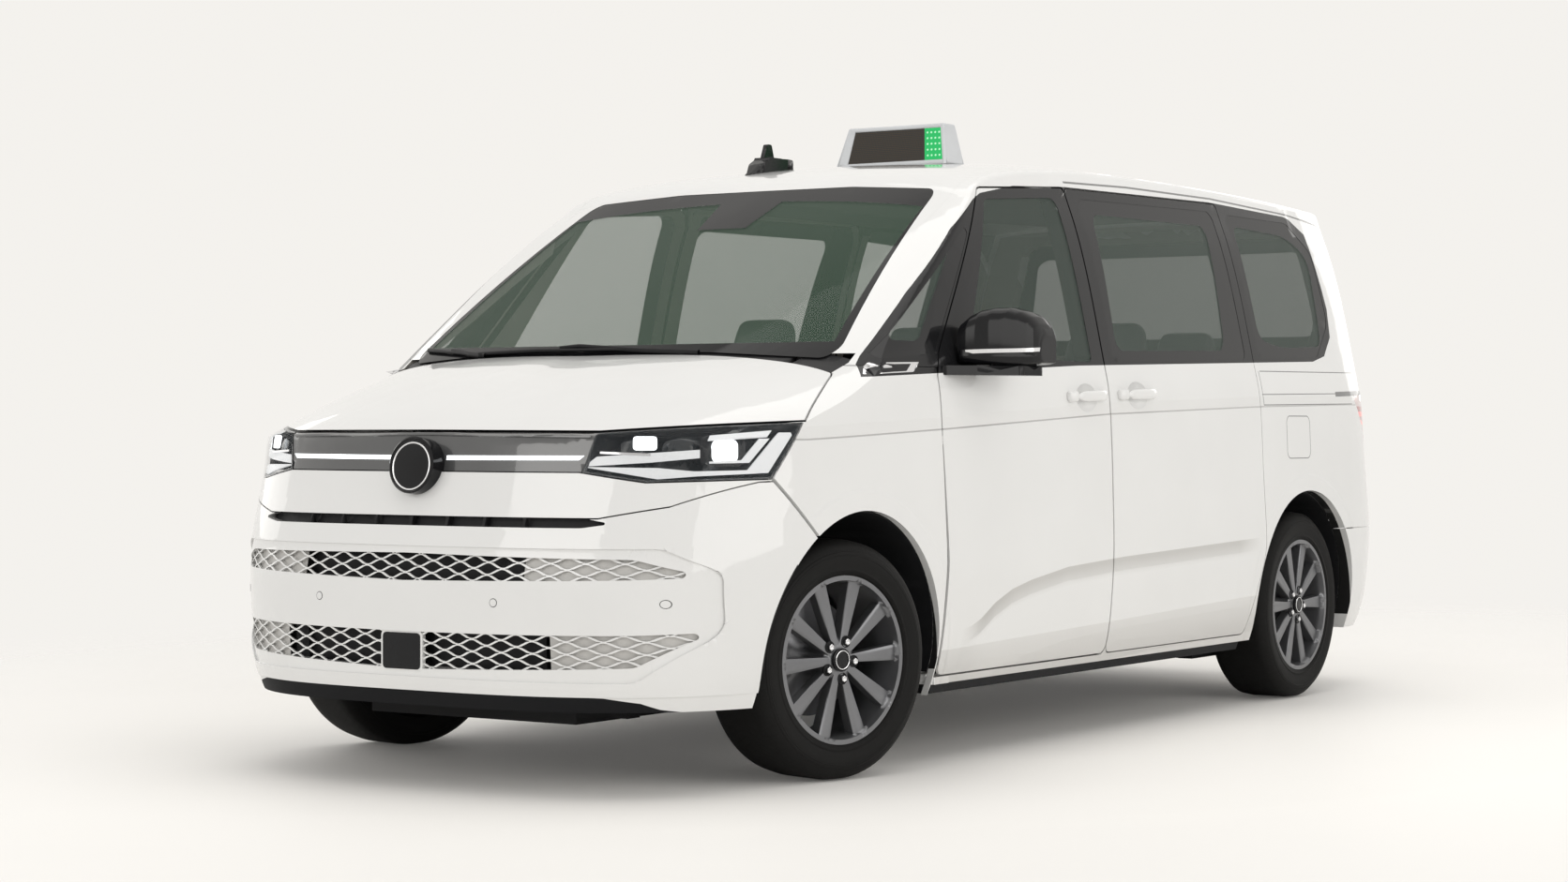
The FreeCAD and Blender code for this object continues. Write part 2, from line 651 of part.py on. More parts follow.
for y, z, radius in ((640, 948, 34), (745, 955, 34)):
    for side in (-1, 1):
        barrel = Part.makeCylinder(radius, 700, V(FRONT + 250, side * y, z), V(1, 0, 0))
        lamp_unit = lamp_unit.fuse(layer(barrel, 26.0, LAMP_DEPTH - 1))
for side in (-1, 1):
    corners = [(800, 885), (816, 885), (850, 1030), (834, 1030)]
    bar = front_prism([(side * y, z, 0) for y, z in corners], 250, 1400)
    lamp_unit = lamp_unit.fuse(layer(bar.common(lamp_space), 12.0, LAMP_DEPTH - 1))
add_feature("headlamp_units", solids(lamp_unit, 20000.0))
add_feature("light_strip", solids(lamp_band.common(lamp_inner).common(form_at(6.0))))

NOSE = [(1300, 0, 0), (1300, 1000, 0), (406, 1000, 0), (406, 866, 0), (233, 698, 0), (233, 0, 0)]
nose_region = side_prism(NOSE, -1200, 1200)
panel = layer(between(BUMPER_LINE, LAMP_LOW, 0, -3).common(nose_region), 0.0, BUMPER_WALL)
add_feature("front_panel", solids(panel, 50000.0))

# Front bumper with its two grille openings
UPPER_GRILLE = [
    (850, 606, 10), (700, 600, 200), (0, 587, 0), (-700, 600, 200),
    (-850, 606, 10), (-700, 655, 100), (0, 664, 0), (700, 655, 100),
]
LOWER_GRILLE = [
    (850, 454, 10), (700, 360, 60), (0, 339, 0), (-700, 360, 60),
    (-850, 454, 10), (-700, 449, 100), (0, 444, 0), (700, 449, 100),
]
SLIT = [
    (640, 752, 4), (560, 740, 60), (0, 740, 0), (-560, 740, 60),
    (-640, 752, 4), (-560, 768, 20), (560, 768, 20),
]
APRON_TOP = 279.0
RECESS_DEPTH = 5.0
BUMPER_RECESS = [
    (760, 684, 60), (-760, 684, 60), (-868, 620, 50), (-868, 450, 90), (-700, 318, 60),
    (700, 318, 60), (868, 450, 90), (868, 620, 50),
]
bumper_region = block(0, 1300, -1200, 1200, APRON_TOP, 900).cut(above(BUMPER_LINE, -GAP)).common(nose_region)
bumper = layer(bumper_region, 0.0, BUMPER_WALL)
bumper = bumper.cut(front_prism(BUMPER_RECESS, 300, 1400).cut(form_at(RECESS_DEPTH)))
bumper = bumper.cut(front_prism(UPPER_GRILLE, 300, 1400)).cut(front_prism(LOWER_GRILLE, 300, 1400))
bumper = bumper.cut(front_prism(SLIT, 300, 1400))
bumper = bumper.cut(Part.makeCompound([front_arch, mirrored(front_arch)]))
add_feature("front_bumper", solids(bumper, 50000.0))


# Honeycomb of long pointed cells, in rows that are half a cell apart
CELL_PITCH = 96.0
CELL_LENGTH = 76.0
ROW_PITCH = 17.0
CELL_HEIGHT = 13.0
HONEYCOMB_DEPTH = 6.0
GRILLE_BACK = 30.0
OPEN_REACH = 430.0
SENSOR = (90.0, 331.0, 447.0)


def cell(y, z):
    point = CELL_LENGTH / 2
    flat = CELL_LENGTH / 4
    rise = CELL_HEIGHT / 2
    corners = [(-point, 0), (-flat, rise), (flat, rise), (point, 0), (flat, -rise), (-flat, -rise)]
    return front_prism([(y + u, z + v, 0) for u, v in corners], 780, 1000)


def honeycomb(outline, top, rows, avoid=0.0):
    """A panel through an outline, open in its middle cells."""
    slab = layer(front_prism(outline, 300, 1400), HONEYCOMB_DEPTH, GRILLE_BACK)
    cells = []
    for row in range(rows):
        start = CELL_PITCH / 2 * (row % 2)
        count = int((OPEN_REACH - start) / CELL_PITCH)
        for place in range(-count - row % 2, count + 1):
            y = start + place * CELL_PITCH
            if abs(y) > avoid:
                cells.append(cell(y, top - row * ROW_PITCH))
    return solids(slab.cut(Part.makeCompound(cells)))


upper_honeycomb = honeycomb(UPPER_GRILLE, 651.0, 4)
lower_honeycomb = honeycomb(LOWER_GRILLE, 434.0, 6, SENSOR[0] + CELL_LENGTH / 2)
add_feature("bumper_grilles", Part.Compound([upper_honeycomb, lower_honeycomb]))
RIB_PITCH = 130.0
slit = layer(front_prism(SLIT, 300, 1400), 24.0, 30.0)
for place in range(-3, 4):
    y = place * RIB_PITCH
    rib_outline = [(y - 5, 730, 0), (y + 5, 730, 0), (y + 5, 780, 0), (y - 5, 780, 0)]
    rib = layer(front_prism(rib_outline, 300, 1400), 3.0, 26.0)
    slit = slit.fuse(rib.common(front_prism(SLIT, 300, 1400)))
add_feature("slit_grille", solids(slit))
apron = layer(block(150, 1300, -1200, 1200, 236, APRON_TOP), 4.0, 30.0)
apron = apron.cut(Part.makeCompound([front_arch, mirrored(front_arch)]))
add_feature("front_apron", solids(apron, 20000.0))

# Front wings
wing = layer(side_prism([
    (-436, SILL - 60, 0), (-455, 605, 0), (-437, 972, 0), (-433, 1168, 0), (-436, 1192, 0), (0, 1240, 0),
    (290, 1060, 0), (398, 874, 0), (226, 706, 0), (226, 500, 0), (-300, 230, 0)], 300, 1200), 0.0, WING_WALL)
bonnet_room = plan_prism(widened(BONNET_PLAN, MOVING_GAP), 800, 1500)
wing = wing.cut(bonnet_room.common(above(LAMP_TOP, 0)))
wing = wing.cut(lamp_band.common(lamp_outer)).cut(front_arch)
wing = wing.cut(block(-500, 0, 300, 1200, 1194, 1400)).cut(block(-500, 60, 1, COWL_HALF + SEATED, 1100, 1400))
add_feature("front_wings", pair(solids(wing, 30000.0)))

# Rear bumper and tail lamps
rear_bumper = layer(block(rear(-4400), BACK_ARCH + 200, -1200, 1200, 236, BUMPER_TOP), 0.0, WALL)
rear_bumper = rear_bumper.cut(Part.makeCompound([rear_arch, mirrored(rear_arch)]))
add_feature("rear_bumper", solids(rear_bumper, 50000.0))
lamp = layer(side_prism([(rear(x), z, r) for x, z, r in LAMP_BACK], 1, 1200).cut(tailgate_hole), 0.0, WALL)
add_feature("tail_lamps", pair(solids(lamp, 20000.0)))

# Floor and wheel housings
LINER_IN = number(named("liner_inner"))


def liner(axle, depth):
    """One wheel housing: a round shell closed on its inner side, out to the panel round it."""
    outer = Part.makeCylinder(ARCH - SEATED, 460, V(axle, LINER_IN, ARCH_RISE), V(0, 1, 0))
    inner = Part.makeCylinder(ARCH - SEATED - LINER, 460, V(axle, LINER_IN + LINER, ARCH_RISE), V(0, 1, 0))
    shell = outer.cut(inner)
    low = Part.makeBox(1200, 600, ARCH_RISE - 60, V(axle - 600, 400, 0))
    return shell.cut(low).common(form_at(depth))


BULKHEAD = -115.0
FLOOR_END = rear(-3840.0)
floor = block(FLOOR_END, BULKHEAD, -1200, 1200, FLOOR_LOW, FLOOR).common(form_at(DOOR + MOVING_GAP))
for y_low, y_high in ((PILLAR_IN - SEATED, 1200), (-1200, SEATED - PILLAR_IN)):
    floor = floor.cut(block(-700, 0, y_low, y_high, 0, 400))
floor = floor.fuse(block(BULKHEAD - 20, BULKHEAD, -LINER_IN + 4, LINER_IN - 4, FLOOR_LOW, 858))
for y in (420, -465):
    floor = floor.fuse(block(BULKHEAD - 20, 760, y, y + 45, FLOOR_LOW, FLOOR + 70))
BACK_END = FLOOR_END - SEATED
rear_member = layer(block(rear(-4400), BACK_END, -800, 800, 560, 630), WALL + SEATED, WALL + 40)
lower_member = block(rear(-4400), BACK_END, -800, 800, FLOOR_LOW, FLOOR).common(form_at(WALL + SEATED))
rear_member = rear_member.fuse(lower_member)
wells = []
for axle in (FRONT, REAR):
    well = Part.makeBox(ARCH * 2 + 4, 900, 600, V(axle - ARCH - 2, LINER_IN - 2, 0))
    wells += [well, mirrored(well)]
floor = floor.cut(Part.makeCompound(wells))
add_feature("floor", solids(floor))
for y in (500, -560):
    post = block(rear(-4400), BACK_END, y, y + 60, FLOOR_LOW, 630)
    rear_member = rear_member.fuse(layer(post, WALL + SEATED, WALL + 40))
add_feature("rear_member", solids(rear_member))
housings = [liner(FRONT, WING_WALL + SEATED), liner(REAR, WALL + SEATED)]
add_feature("wheel_housings", Part.Compound(housings + [mirrored(housing) for housing in housings]))
sill = layer(block(rear(-2600), -442, 1, 1200, SILL_LOW, SILL_SPLIT - SEATED), 0.0, WALL)
CARRIER_SET = BUMPER_WALL + 1
carrier = layer(block(300, 1300, -880, 880, 740, 858), CARRIER_SET, BUMPER_WALL + 28)
carrier = carrier.fuse(layer(block(300, 1300, -520, 520, 850, 990), CARRIER_SET, BUMPER_WALL + 28))
carrier = carrier.fuse(layer(block(300, 1300, -700, 700, 470, 560), CARRIER_SET, BUMPER_WALL + 60))
for y in (400, -460):
    carrier = carrier.fuse(layer(block(300, 1300, y, y + 60, FLOOR_LOW, 990), CARRIER_SET, BUMPER_WALL + 28))
    rail = block(760 + SEATED, 1300, y, y + 60, 470, 560).common(form_at(BUMPER_WALL + 4))
    rail = rail.fuse(block(700, 760 + SEATED + 10, y, y + 60, FLOOR + 70 + SEATED, 560))
    carrier = carrier.fuse(rail)
add_feature("front_carrier", solids(carrier))
add_feature("sill_covers", pair(solids(sill)))


# Sketched bodies
def origin_plane(body, role):
    return [feature for feature in body.Origin.OriginFeatures if feature.Role == role][0]


def make_body(name):
    body = doc.addObject("PartDesign::Body", name)
    body.Label = name
    parts[name] = body
    return body


def sketch_polygon(body, name, role, points):
    """A closed sketch of straight lines, each corner tied to its two sizes."""
    sketch = body.newObject("Sketcher::SketchObject", name)
    sketch.AttachmentSupport = [(origin_plane(body, role), "")]
    sketch.MapMode = "FlatFace"
    count = len(points)
    for i in range(count):
        a = points[i]
        b = points[(i + 1) % count]
        start = V(number(a[0]), number(a[1]), 0)
        sketch.addGeometry(Part.LineSegment(start, V(number(b[0]), number(b[1]), 0)))
    for i in range(count):
        sketch.addConstraint(Sketcher.Constraint("Coincident", i, 2, (i + 1) % count, 1))
    for i, (u, v) in enumerate(points):
        for axis, size in (("DistanceX", u), ("DistanceY", v)):
            index = sketch.addConstraint(Sketcher.Constraint(axis, -1, 1, i, 1, number(size)))
            if isinstance(size, Size):
                sketch.setExpression("Constraints[%d]" % index, text(size))
    return sketch


def revolve(body, name, sketch):
    feature = body.newObject("PartDesign::Revolution", name)
    feature.Profile = sketch
    feature.ReferenceAxis = (sketch, ["H_Axis"])
    feature.Angle = 360
    sketch.Visibility = False
    return feature


def pad(body, name, sketch, length):
    feature = body.newObject("PartDesign::Pad", name)
    feature.Profile = sketch
    feature.Length = number(length)
    bind(feature, "Length", length)
    return feature


# Wheels
tyre_radius = named("tyre_radius")
tyre_half = named("tyre_width") / 2
rim_radius = named("rim_radius")
rim_half = named("rim_width") / 2
wheel_y = named("track") / 2
kingpin_inset = named("kingpin_inset")
stub_radius = named("stub_radius")
hub_radius = named("hub_radius")
disc_out = -named("disc_inset")
disc_in = disc_out - named("disc_thickness")
ZERO = named("kingpin_inset") - named("kingpin_inset")
SPOKES = 10
WHEELS = [
    ("front_left", front_axle, 1, True), ("front_right", front_axle, -1, True),
    ("rear_left", rear_axle, 1, False), ("rear_right", rear_axle, -1, False),
]


def make_tyre(name):
    body = make_body(name)
    points = [
        (-rim_half, rim_radius + 0.5), (-tyre_half + 4, rim_radius + 26), (-tyre_half, rim_radius + 60),
        (-tyre_half + 8, tyre_radius - 22), (-tyre_half + 24, tyre_radius - 5),
        (-tyre_half + 60, tyre_radius),
        (tyre_half - 60, tyre_radius), (tyre_half - 24, tyre_radius - 5), (tyre_half - 8, tyre_radius - 22),
        (tyre_half, rim_radius + 60), (tyre_half - 4, rim_radius + 26), (rim_half, rim_radius + 0.5),
    ]
    revolve(body, name + "_turn", sketch_polygon(body, name + "_section", "YZ_Plane", points))
    return body


def make_rim(name, disc_radius):
    """Barrel, hub and brake disc turned from profiles, with spokes padded on the outer side."""
    body = make_body(name)
    bore = stub_radius + named("running_fit")
    barrel = [
        (-rim_half, rim_radius - 14), (-rim_half, rim_radius),
        (rim_half, rim_radius), (rim_half, rim_radius - 14),
        (rim_half - 30, rim_radius - 20), (-rim_half + 20, rim_radius - 20),
    ]
    revolve(body, name + "_barrel", sketch_polygon(body, name + "_barrel_section", "YZ_Plane", barrel))
    root = named("spoke_root") / 2
    tip = named("spoke_tip") / 2
    spoke = [
        (hub_radius - 30, -root), (rim_radius - 16, -tip), (rim_radius - 16, tip), (hub_radius - 30, root),
    ]
    outline = sketch_polygon(body, name + "_spoke_outline", "XZ_Plane", spoke)
    outline.AttachmentOffset = FreeCAD.Placement(V(0, 0, -number(rim_half - 50)), FreeCAD.Rotation())
    bind(outline, "AttachmentOffset.Base.z", -(rim_half - 50))
    arm = pad(body, name + "_spoke", outline, named("spoke_depth"))
    arm.Reversed = True
    doc.recompute()
    pattern = body.newObject("PartDesign::PolarPattern", name + "_spokes")
    pattern.Originals = [arm]
    pattern.Axis = (origin_plane(body, "Y_Axis"), [""])
    pattern.Angle = 360
    pattern.Occurrences = SPOKES
    body.Tip = pattern
    hub = [
        (disc_in, bore), (disc_in, disc_radius), (disc_out, disc_radius), (disc_out, hub_radius),
        (rim_half - 24, hub_radius), (rim_half - 14, hub_radius - 22),
        (rim_half - 14, ZERO), (rim_half - 40, ZERO), (rim_half - 40, bore),
    ]
    turned = revolve(body, name + "_hub", sketch_polygon(body, name + "_hub_section", "YZ_Plane", hub))
    body.Tip = turned
    return body


# Hub carriers with their calipers, drawn for the left side with the wheel's centre as origin
LEAN = math.radians(number(named("kingpin_lean")))
BALL_DROP = 147.0
STRUT_RISE = 213.0
BALL_RADIUS = 16.0


def kingpin_point(rise):
    """A point of the steering axis, by its height over the wheel's centre."""
    return V(0, -kingpin_inset.value - rise * math.tan(LEAN), rise)


def carrier_shape(disc_radius, steered):
    face = disc_in.value - number(named("brake_clearance"))
    stub = Part.makeCylinder(stub_radius.value, rim_half.value - 42 - face, V(0, face, 0), V(0, 1, 0))
    flange = Part.makeCylinder(52, 50, V(0, face - 50, 0), V(0, 1, 0))
    disc_r = number(disc_radius)
    width = number(named("caliper_width"))
    clear = number(named("brake_clearance"))
    thick = number(named("disc_thickness"))
    caliper = Part.makeCylinder(disc_r + 24, width, V(0, disc_in.value - 30, 0), V(0, 1, 0))
    caliper = caliper.cut(Part.makeCylinder(disc_r - 58, 400, V(0, -200, 0), V(0, 1, 0)))
    wedge = Part.makePolygon([V(0, -300, 0), V(300, -300, 120), V(300, -300, -120), V(0, -300, 0)])
    caliper = caliper.common(Part.Face(wedge).extrude(V(0, 600, 0)))
    disc_foot = V(0, disc_in.value - clear, 0)
    caliper = caliper.cut(Part.makeCylinder(disc_r + clear, thick + 2 * clear, disc_foot, V(0, 1, 0)))
    link = Part.makeBox(disc_r - 20, 20, 70, V(0, face - 21, -35))
    pieces = [flange, caliper, link]
    if steered:
        low = kingpin_point(-BALL_DROP)
        axis = (kingpin_point(STRUT_RISE) - low).normalize()
        start = low + axis * (BALL_RADIUS + SEATED)
        length = (kingpin_point(STRUT_RISE) - start).Length
        pieces.append(Part.makeCylinder(24, length, start, axis))
        reach = kingpin_inset.value + face - 20
        pieces.append(Part.makeBox(64, reach, 64, V(-32, -kingpin_inset.value, -32)))
    else:
        pieces.append(Part.makeBox(60, 100, 190, V(-30, face - 114, -150)))
    return stub.fuse(pieces)


def kingpin_place(side):
    """The turn about the leaning steering axis that the front wheels rest at."""
    foot = kingpin_point(0.0)
    axis = V(0, -side * math.sin(LEAN), math.cos(LEAN))
    base = V(FRONT, side * (wheel_y.value + foot.y), tyre_radius.value)
    turn = FreeCAD.Rotation(axis, -number(named("steer_rest")))
    centre = V(FRONT, side * wheel_y.value, tyre_radius.value)
    return FreeCAD.Placement(base + turn.multVec(centre - base), turn)


def seat_wheel(tyre, rim, carrier, place, side):
    """Puts one corner's pieces in place, with the tyre's foot on the floor, and gives its lift."""
    flip = FreeCAD.Rotation(V(0, 0, 1), 0 if side > 0 else 180)
    tyre.Placement = FreeCAD.Placement(place.Base, place.Rotation.multiply(flip))
    doc.recompute()
    lift = V(0, 0, -tyre.Shape.optimalBoundingBox(False, False).ZMin)
    place = FreeCAD.Placement(place.Base + lift, place.Rotation)
    tyre.Placement = FreeCAD.Placement(place.Base, place.Rotation.multiply(flip))
    rim.Placement = tyre.Placement
    if carrier is not None:
        carrier.Placement = place
    print("wheel centre", rim.Label, place.Base, "axle", place.Rotation.multVec(V(0, side, 0)))
    return lift.z


for corner_name, axle, side, steered in WHEELS:
    disc = named("front_disc_radius") if steered else named("rear_disc_radius")
    tyre = make_tyre("tyre_" + corner_name)
    rim = make_rim("rim_" + corner_name, disc)
    if steered:
        carrier = carrier_shape(disc, True)
        carrier = add_feature("knuckle_" + corner_name[6:], carrier if side > 0 else mirrored(carrier))
        front_lift = seat_wheel(tyre, rim, carrier, kingpin_place(side), side)
    else:
        centre = V(axle.value, side * wheel_y.value, tyre_radius.value)
        seat_wheel(tyre, rim, None, FreeCAD.Placement(centre, FreeCAD.Rotation()), side)

# Rear axle: hub carriers, trailing arms, cross beam, springs and floor brackets
CENTRE_Z = tyre_radius.value
ARM_LOW = 160.0
BEAM_HIGH = 202.0
ARM_HIGH = 262.0
rear_pieces = []
for side in (1, -1):
    carrier = carrier_shape(named("rear_disc_radius"), False)
    carrier = carrier if side > 0 else mirrored(carrier)
    carrier.translate(V(REAR, side * wheel_y.value, CENTRE_Z))
    arm_y = side * (wheel_y.value - 161)
    arm = Part.makeBox(460, 56, ARM_HIGH - ARM_LOW, V(REAR - 40, arm_y - 28, ARM_LOW))
    spring = Part.makeCylinder(44, 540, V(REAR, side * 590, ARM_LOW + 64))
    plate = Part.makeBox(110, 130, 20, V(REAR - 55, side * 620 - 75 - min(side * 20, 0), ARM_LOW + 50))
    bracket = Part.makeBox(70, 90, FLOOR_LOW - SEATED - ARM_LOW, V(REAR + 350, side * 400 - 45, ARM_LOW))
    rear_pieces += [carrier, arm, spring, plate, bracket]
beam_half = wheel_y.value - 160
rear_pieces.append(Part.makeBox(80, 2 * beam_half, BEAM_HIGH - ARM_LOW, V(REAR + 330, -beam_half, ARM_LOW)))
add_feature("rear_axle", rear_pieces[0].fuse(rear_pieces[1:]))

# Front subframe with its lower arms, ball joints and struts, and the engine on it
SUBFRAME_LOW = 176.0
SUBFRAME_HIGH = 226.0
subframe_pieces = [block(-250, 600, -380, 380, SUBFRAME_LOW, SUBFRAME_HIGH)]
for side in (1, -1):
    foot = kingpin_point(-BALL_DROP)
    ball = V(FRONT, side * (wheel_y.value + foot.y), CENTRE_Z + foot.z + front_lift)
    low_y, high_y = sorted((side * 360, ball.y + side * 12))
    subframe_pieces.append(block(-34, 34, low_y, high_y, SUBFRAME_LOW, ball.z - 6))
    subframe_pieces.append(Part.makeSphere(BALL_RADIUS, ball))
    rise = SUBFRAME_HIGH - 1
    subframe_pieces.append(block(-240, -180, *sorted((side * 330, side * 380)), rise, FLOOR_LOW - SEATED))
    subframe_pieces.append(block(400, 460, *sorted((side * 366, side * 455)), rise - 40, FLOOR_LOW - SEATED))
add_feature("front_subframe", subframe_pieces[0].fuse(subframe_pieces[1:]))
struts = []
for side in (1, -1):
    top = kingpin_point(STRUT_RISE)
    axis = V(0, -side * math.sin(LEAN), math.cos(LEAN))
    start = V(FRONT, side * (wheel_y.value + top.y), CENTRE_Z + top.z + front_lift) + axis * SEATED
    strut = Part.makeCylinder(24, 200, start, axis)
    coil = Part.makeCylinder(52, 80, start + axis * 120, axis)
    struts.append(strut.fuse(coil))
add_feature("front_struts", Part.Compound(struts))
add_feature("engine", block(60, 560, -360, 360, SUBFRAME_HIGH + SEATED, 840))
tank = block(-1950, -1150, -330, 250, 120, FLOOR_LOW - SEATED)
add_feature("fuel_tank", tank.makeFillet(30, [edge for edge in tank.Edges if edge.BoundBox.ZMin < 200]))
pipe_r = number(named("exhaust_radius"))
PIPE_Y = 380.0
PIPE_Z = BEAM_HIGH + 6 + pipe_r
silencer = block(rear(-3860), rear(-3480), 120, 520, PIPE_Z - 90, FLOOR_LOW - SEATED)
silencer = silencer.makeFillet(30, silencer.Edges)
tail = Part.makeCylinder(pipe_r, 95, V(FRONT + rear(-3915), PIPE_Y + 60, PIPE_Z), V(1, 0, 0))
hangers = [block(x, x + 30, 285, 315, PIPE_Z, FLOOR_LOW - SEATED) for x in (-2400, -1500)]
pipe = Part.makeCylinder(pipe_r, -300 - rear(-3490), V(FRONT + rear(-3490), 300, PIPE_Z), V(1, 0, 0))
add_feature("exhaust", silencer.fuse([tail, pipe] + hangers))

# Cowl and wipers
COWL_PLAN = [
    (70, 0, 0), (20, 640, 0), (-2, COWL_HALF, 0), (-110, COWL_HALF, 0), (-60, 640, 0), (20, 0, 0),
    (-60, -640, 0), (-110, -COWL_HALF, 0), (-2, -COWL_HALF, 0), (20, -640, 0),
]
cowl = layer(plan_prism(COWL_PLAN, 1100, 1300), 6.0, 40.0)
cowl = cowl.cut(screen_region).cut(Part.makeCompound(bonnet_slots)).fuse(bonnet_pins)
add_feature("cowl", solids(cowl))

# Steering wheel, dashboard and seats
DASH_HALF = PILLAR_IN - SEATED
dash = block(-560, BULKHEAD - 5, -DASH_HALF, DASH_HALF, 858 + SEATED, 1150)
dash = dash.makeFillet(60, [edge for edge in dash.Edges if abs(edge.Length - 2 * DASH_HALF) < 1])
STEERING_PLACE = FreeCAD.Placement(V(FRONT - 700, 430, 1060), FreeCAD.Rotation(V(0, 1, 0), -62))
HUB_LOW = -46.0
column = Part.makeCylinder(30, 260, V(0, 0, HUB_LOW - SEATED - 260))
column.Placement = STEERING_PLACE
dash = dash.common(form_at(50.0)).fuse(column)
add_feature("dashboard", dash)


def seat_shape(width, back_height, headrests):
    """A cushion, a leaning back and the headrests on their posts, facing +X with the hip at the origin."""
    depth = number(named("seat_depth"))
    thick = number(named("seat_thickness"))
    cushion = Part.makeBox(depth, width, thick, V(0, -width / 2, -thick))
    cushion = cushion.makeFillet(30, cushion.Edges)
    back = Part.makeBox(110, width, back_height, V(-110, -width / 2, -60))
    back = back.makeFillet(35, back.Edges)
    rests = []
    for y in headrests:
        rest = Part.makeBox(90, 260, 170, V(-110, y - 130, back_height - 20))
        rests.append(rest.makeFillet(35, rest.Edges))
        for post in (-50, 50):
            rests.append(Part.makeCylinder(7, 60, V(-62, y + post, back_height - 75)))
    lean = FreeCAD.Placement(V(0, 0, 0), FreeCAD.Rotation(V(0, 1, 0), -14))
    upper = back.fuse(rests)
    upper.Placement = lean
    base_height = number(named("seat_height")) - FLOOR - SEATED
    base = Part.makeBox(depth - 120, width - 120, base_height - 20, V(40, -(width - 120) / 2, -base_height))
    return cushion.fuse([upper, base])


def place_seat(shape, x, y):
    copy = shape.copy()
    copy.translate(V(FRONT + x, y, number(named("seat_height"))))
    return copy


SEAT = number(named("seat_width"))
BENCH_WIDTH = 1180.0
single = seat_shape(SEAT, 600, [0])
bench = seat_shape(BENCH_WIDTH, 580, [-400, 0, 400])
spacing = number(named("front_seat_spacing")) / 2
for row_name, hip in (("front_seats", -1330), ("middle_seats", -2370)):
    row = [place_seat(single, hip, spacing), place_seat(single, hip, -spacing)]
    add_feature(row_name, Part.Compound(row))
housing_room = block(rear(-3600), rear(-2400), LINER_IN - 8, 1200, 0, ARCH_RISE + ARCH + 8)
rear_bench = place_seat(bench, rear(-3020), 0).cut(Part.makeCompound([housing_room, mirrored(housing_room)]))
add_feature("rear_bench", solids(rear_bench))

wheel_radius = number(named("steering_wheel_radius"))
steering = Part.makeTorus(wheel_radius, 15)
hub_disc = Part.makeCylinder(62, -HUB_LOW, V(0, 0, HUB_LOW))
bars = Part.makeBox(34, 2 * wheel_radius - 10, 14, V(-17, -wheel_radius + 5, -12))
lower_bar = Part.makeBox(wheel_radius - 5, 34, 14, V(-wheel_radius + 5, -17, -12))
steering = steering.fuse([hub_disc, bars, lower_bar])
steering_feature = add_feature("steering_wheel", steering)
steering_feature.Placement = STEERING_PLACE

# Roof sign on its plinth, with a sunk window for the display
SIGN_X = -1769.0
SIGN_BASE = ROOF + 29.0
SIGN_LEAN = (-53.0, 27.0)
SIGN_END_LEAN = 30.0
SIGN_WINDOW = ((-178, 0.09), (214, 0.09), (186, 0.91), (-166, 0.91))
WINDOW_DEPTH = 3.0
PLINTH_INSET = 10.0
sign_half = number(named("sign_length")) / 2
sign_deep = number(named("sign_depth")) / 2
sign_top = number(named("sign_height"))


def sign_ring(back, front, half, z):
    """A closed rectangle of the sign's outline at one height."""
    corners = [V(back, -half, z), V(front, -half, z), V(front, half, z), V(back, half, z)]
    return Part.makePolygon(corners + corners[:1])


def sign_front(y, rise):
    """A point of the sign's leaning front face, by its share of the height."""
    return V(sign_deep + (SIGN_LEAN[1] - sign_deep) * rise, y, sign_top * rise)


low_ring = sign_ring(-sign_deep, sign_deep, sign_half, 0)
high_ring = sign_ring(SIGN_LEAN[0], SIGN_LEAN[1], sign_half - SIGN_END_LEAN, sign_top)
sign = Part.makeLoft([low_ring, high_ring], True, True)
sign = sign.makeFillet(9, [edge for edge in sign.Edges if edge.BoundBox.ZMax > 10])
window_corners = [sign_front(y, rise) for y, rise in SIGN_WINDOW]
window_face = Part.Face(Part.makePolygon(window_corners + window_corners[:1]))
outward = V(sign_top, 0, sign_deep - SIGN_LEAN[1]).normalize()
window_face.translate(outward)
sign = sign.cut(window_face.extrude(outward * -(WINDOW_DEPTH + 1)))
plinth_wide = 2 * (sign_half - PLINTH_INSET)
plinth_deep = 2 * (sign_deep - PLINTH_INSET)
plinth = Part.makeBox(plinth_deep, plinth_wide, 60, V(-plinth_deep / 2, -plinth_wide / 2, -59))
sign = sign.fuse(plinth)
sign.translate(V(FRONT + SIGN_X, 0, SIGN_BASE))
over_roof = form_at(-SEATED)
add_feature("taxi_sign", solids(sign.cut(over_roof)))

# Antenna on the right of the roof: a pointed base with a blade
ANTENNA_Y = -195.0
ANTENNA_BASE = [
    (-1090, 0, 4), (-1150, 30, 60), (-1300, 36, 60), (-1345, 26, 10),
    (-1345, -26, 10), (-1300, -36, 60), (-1150, -30, 60),
]
ANTENNA_SIDE = [
    (-1085, ROOF - 90, 0), (-1085, ROOF - 42, 0), (-1150, ROOF + 6, 40), (-1186, ROOF + 24, 20),
    (-1208, ROOF + 78, 9), (-1234, ROOF + 78, 9), (-1250, ROOF + 30, 12), (-1335, ROOF + 32, 14),
    (-1350, ROOF + 6, 0), (-1350, ROOF - 90, 0),
]
BLADE_HALF = 8.0
base = plan_prism(ANTENNA_BASE, ROOF - 90, ROOF + 31)
side_view = prism(ANTENNA_SIDE, lambda u, v: V(FRONT + u, -60, v), V(0, 120, 0))
blade = prism(ANTENNA_SIDE, lambda u, v: V(FRONT + u, -BLADE_HALF, v), V(0, 2 * BLADE_HALF, 0))
antenna = base.common(side_view).fuse(blade)
antenna.translate(V(0, ANTENNA_Y, 0))
add_feature("antenna", solids(antenna.cut(over_roof)))

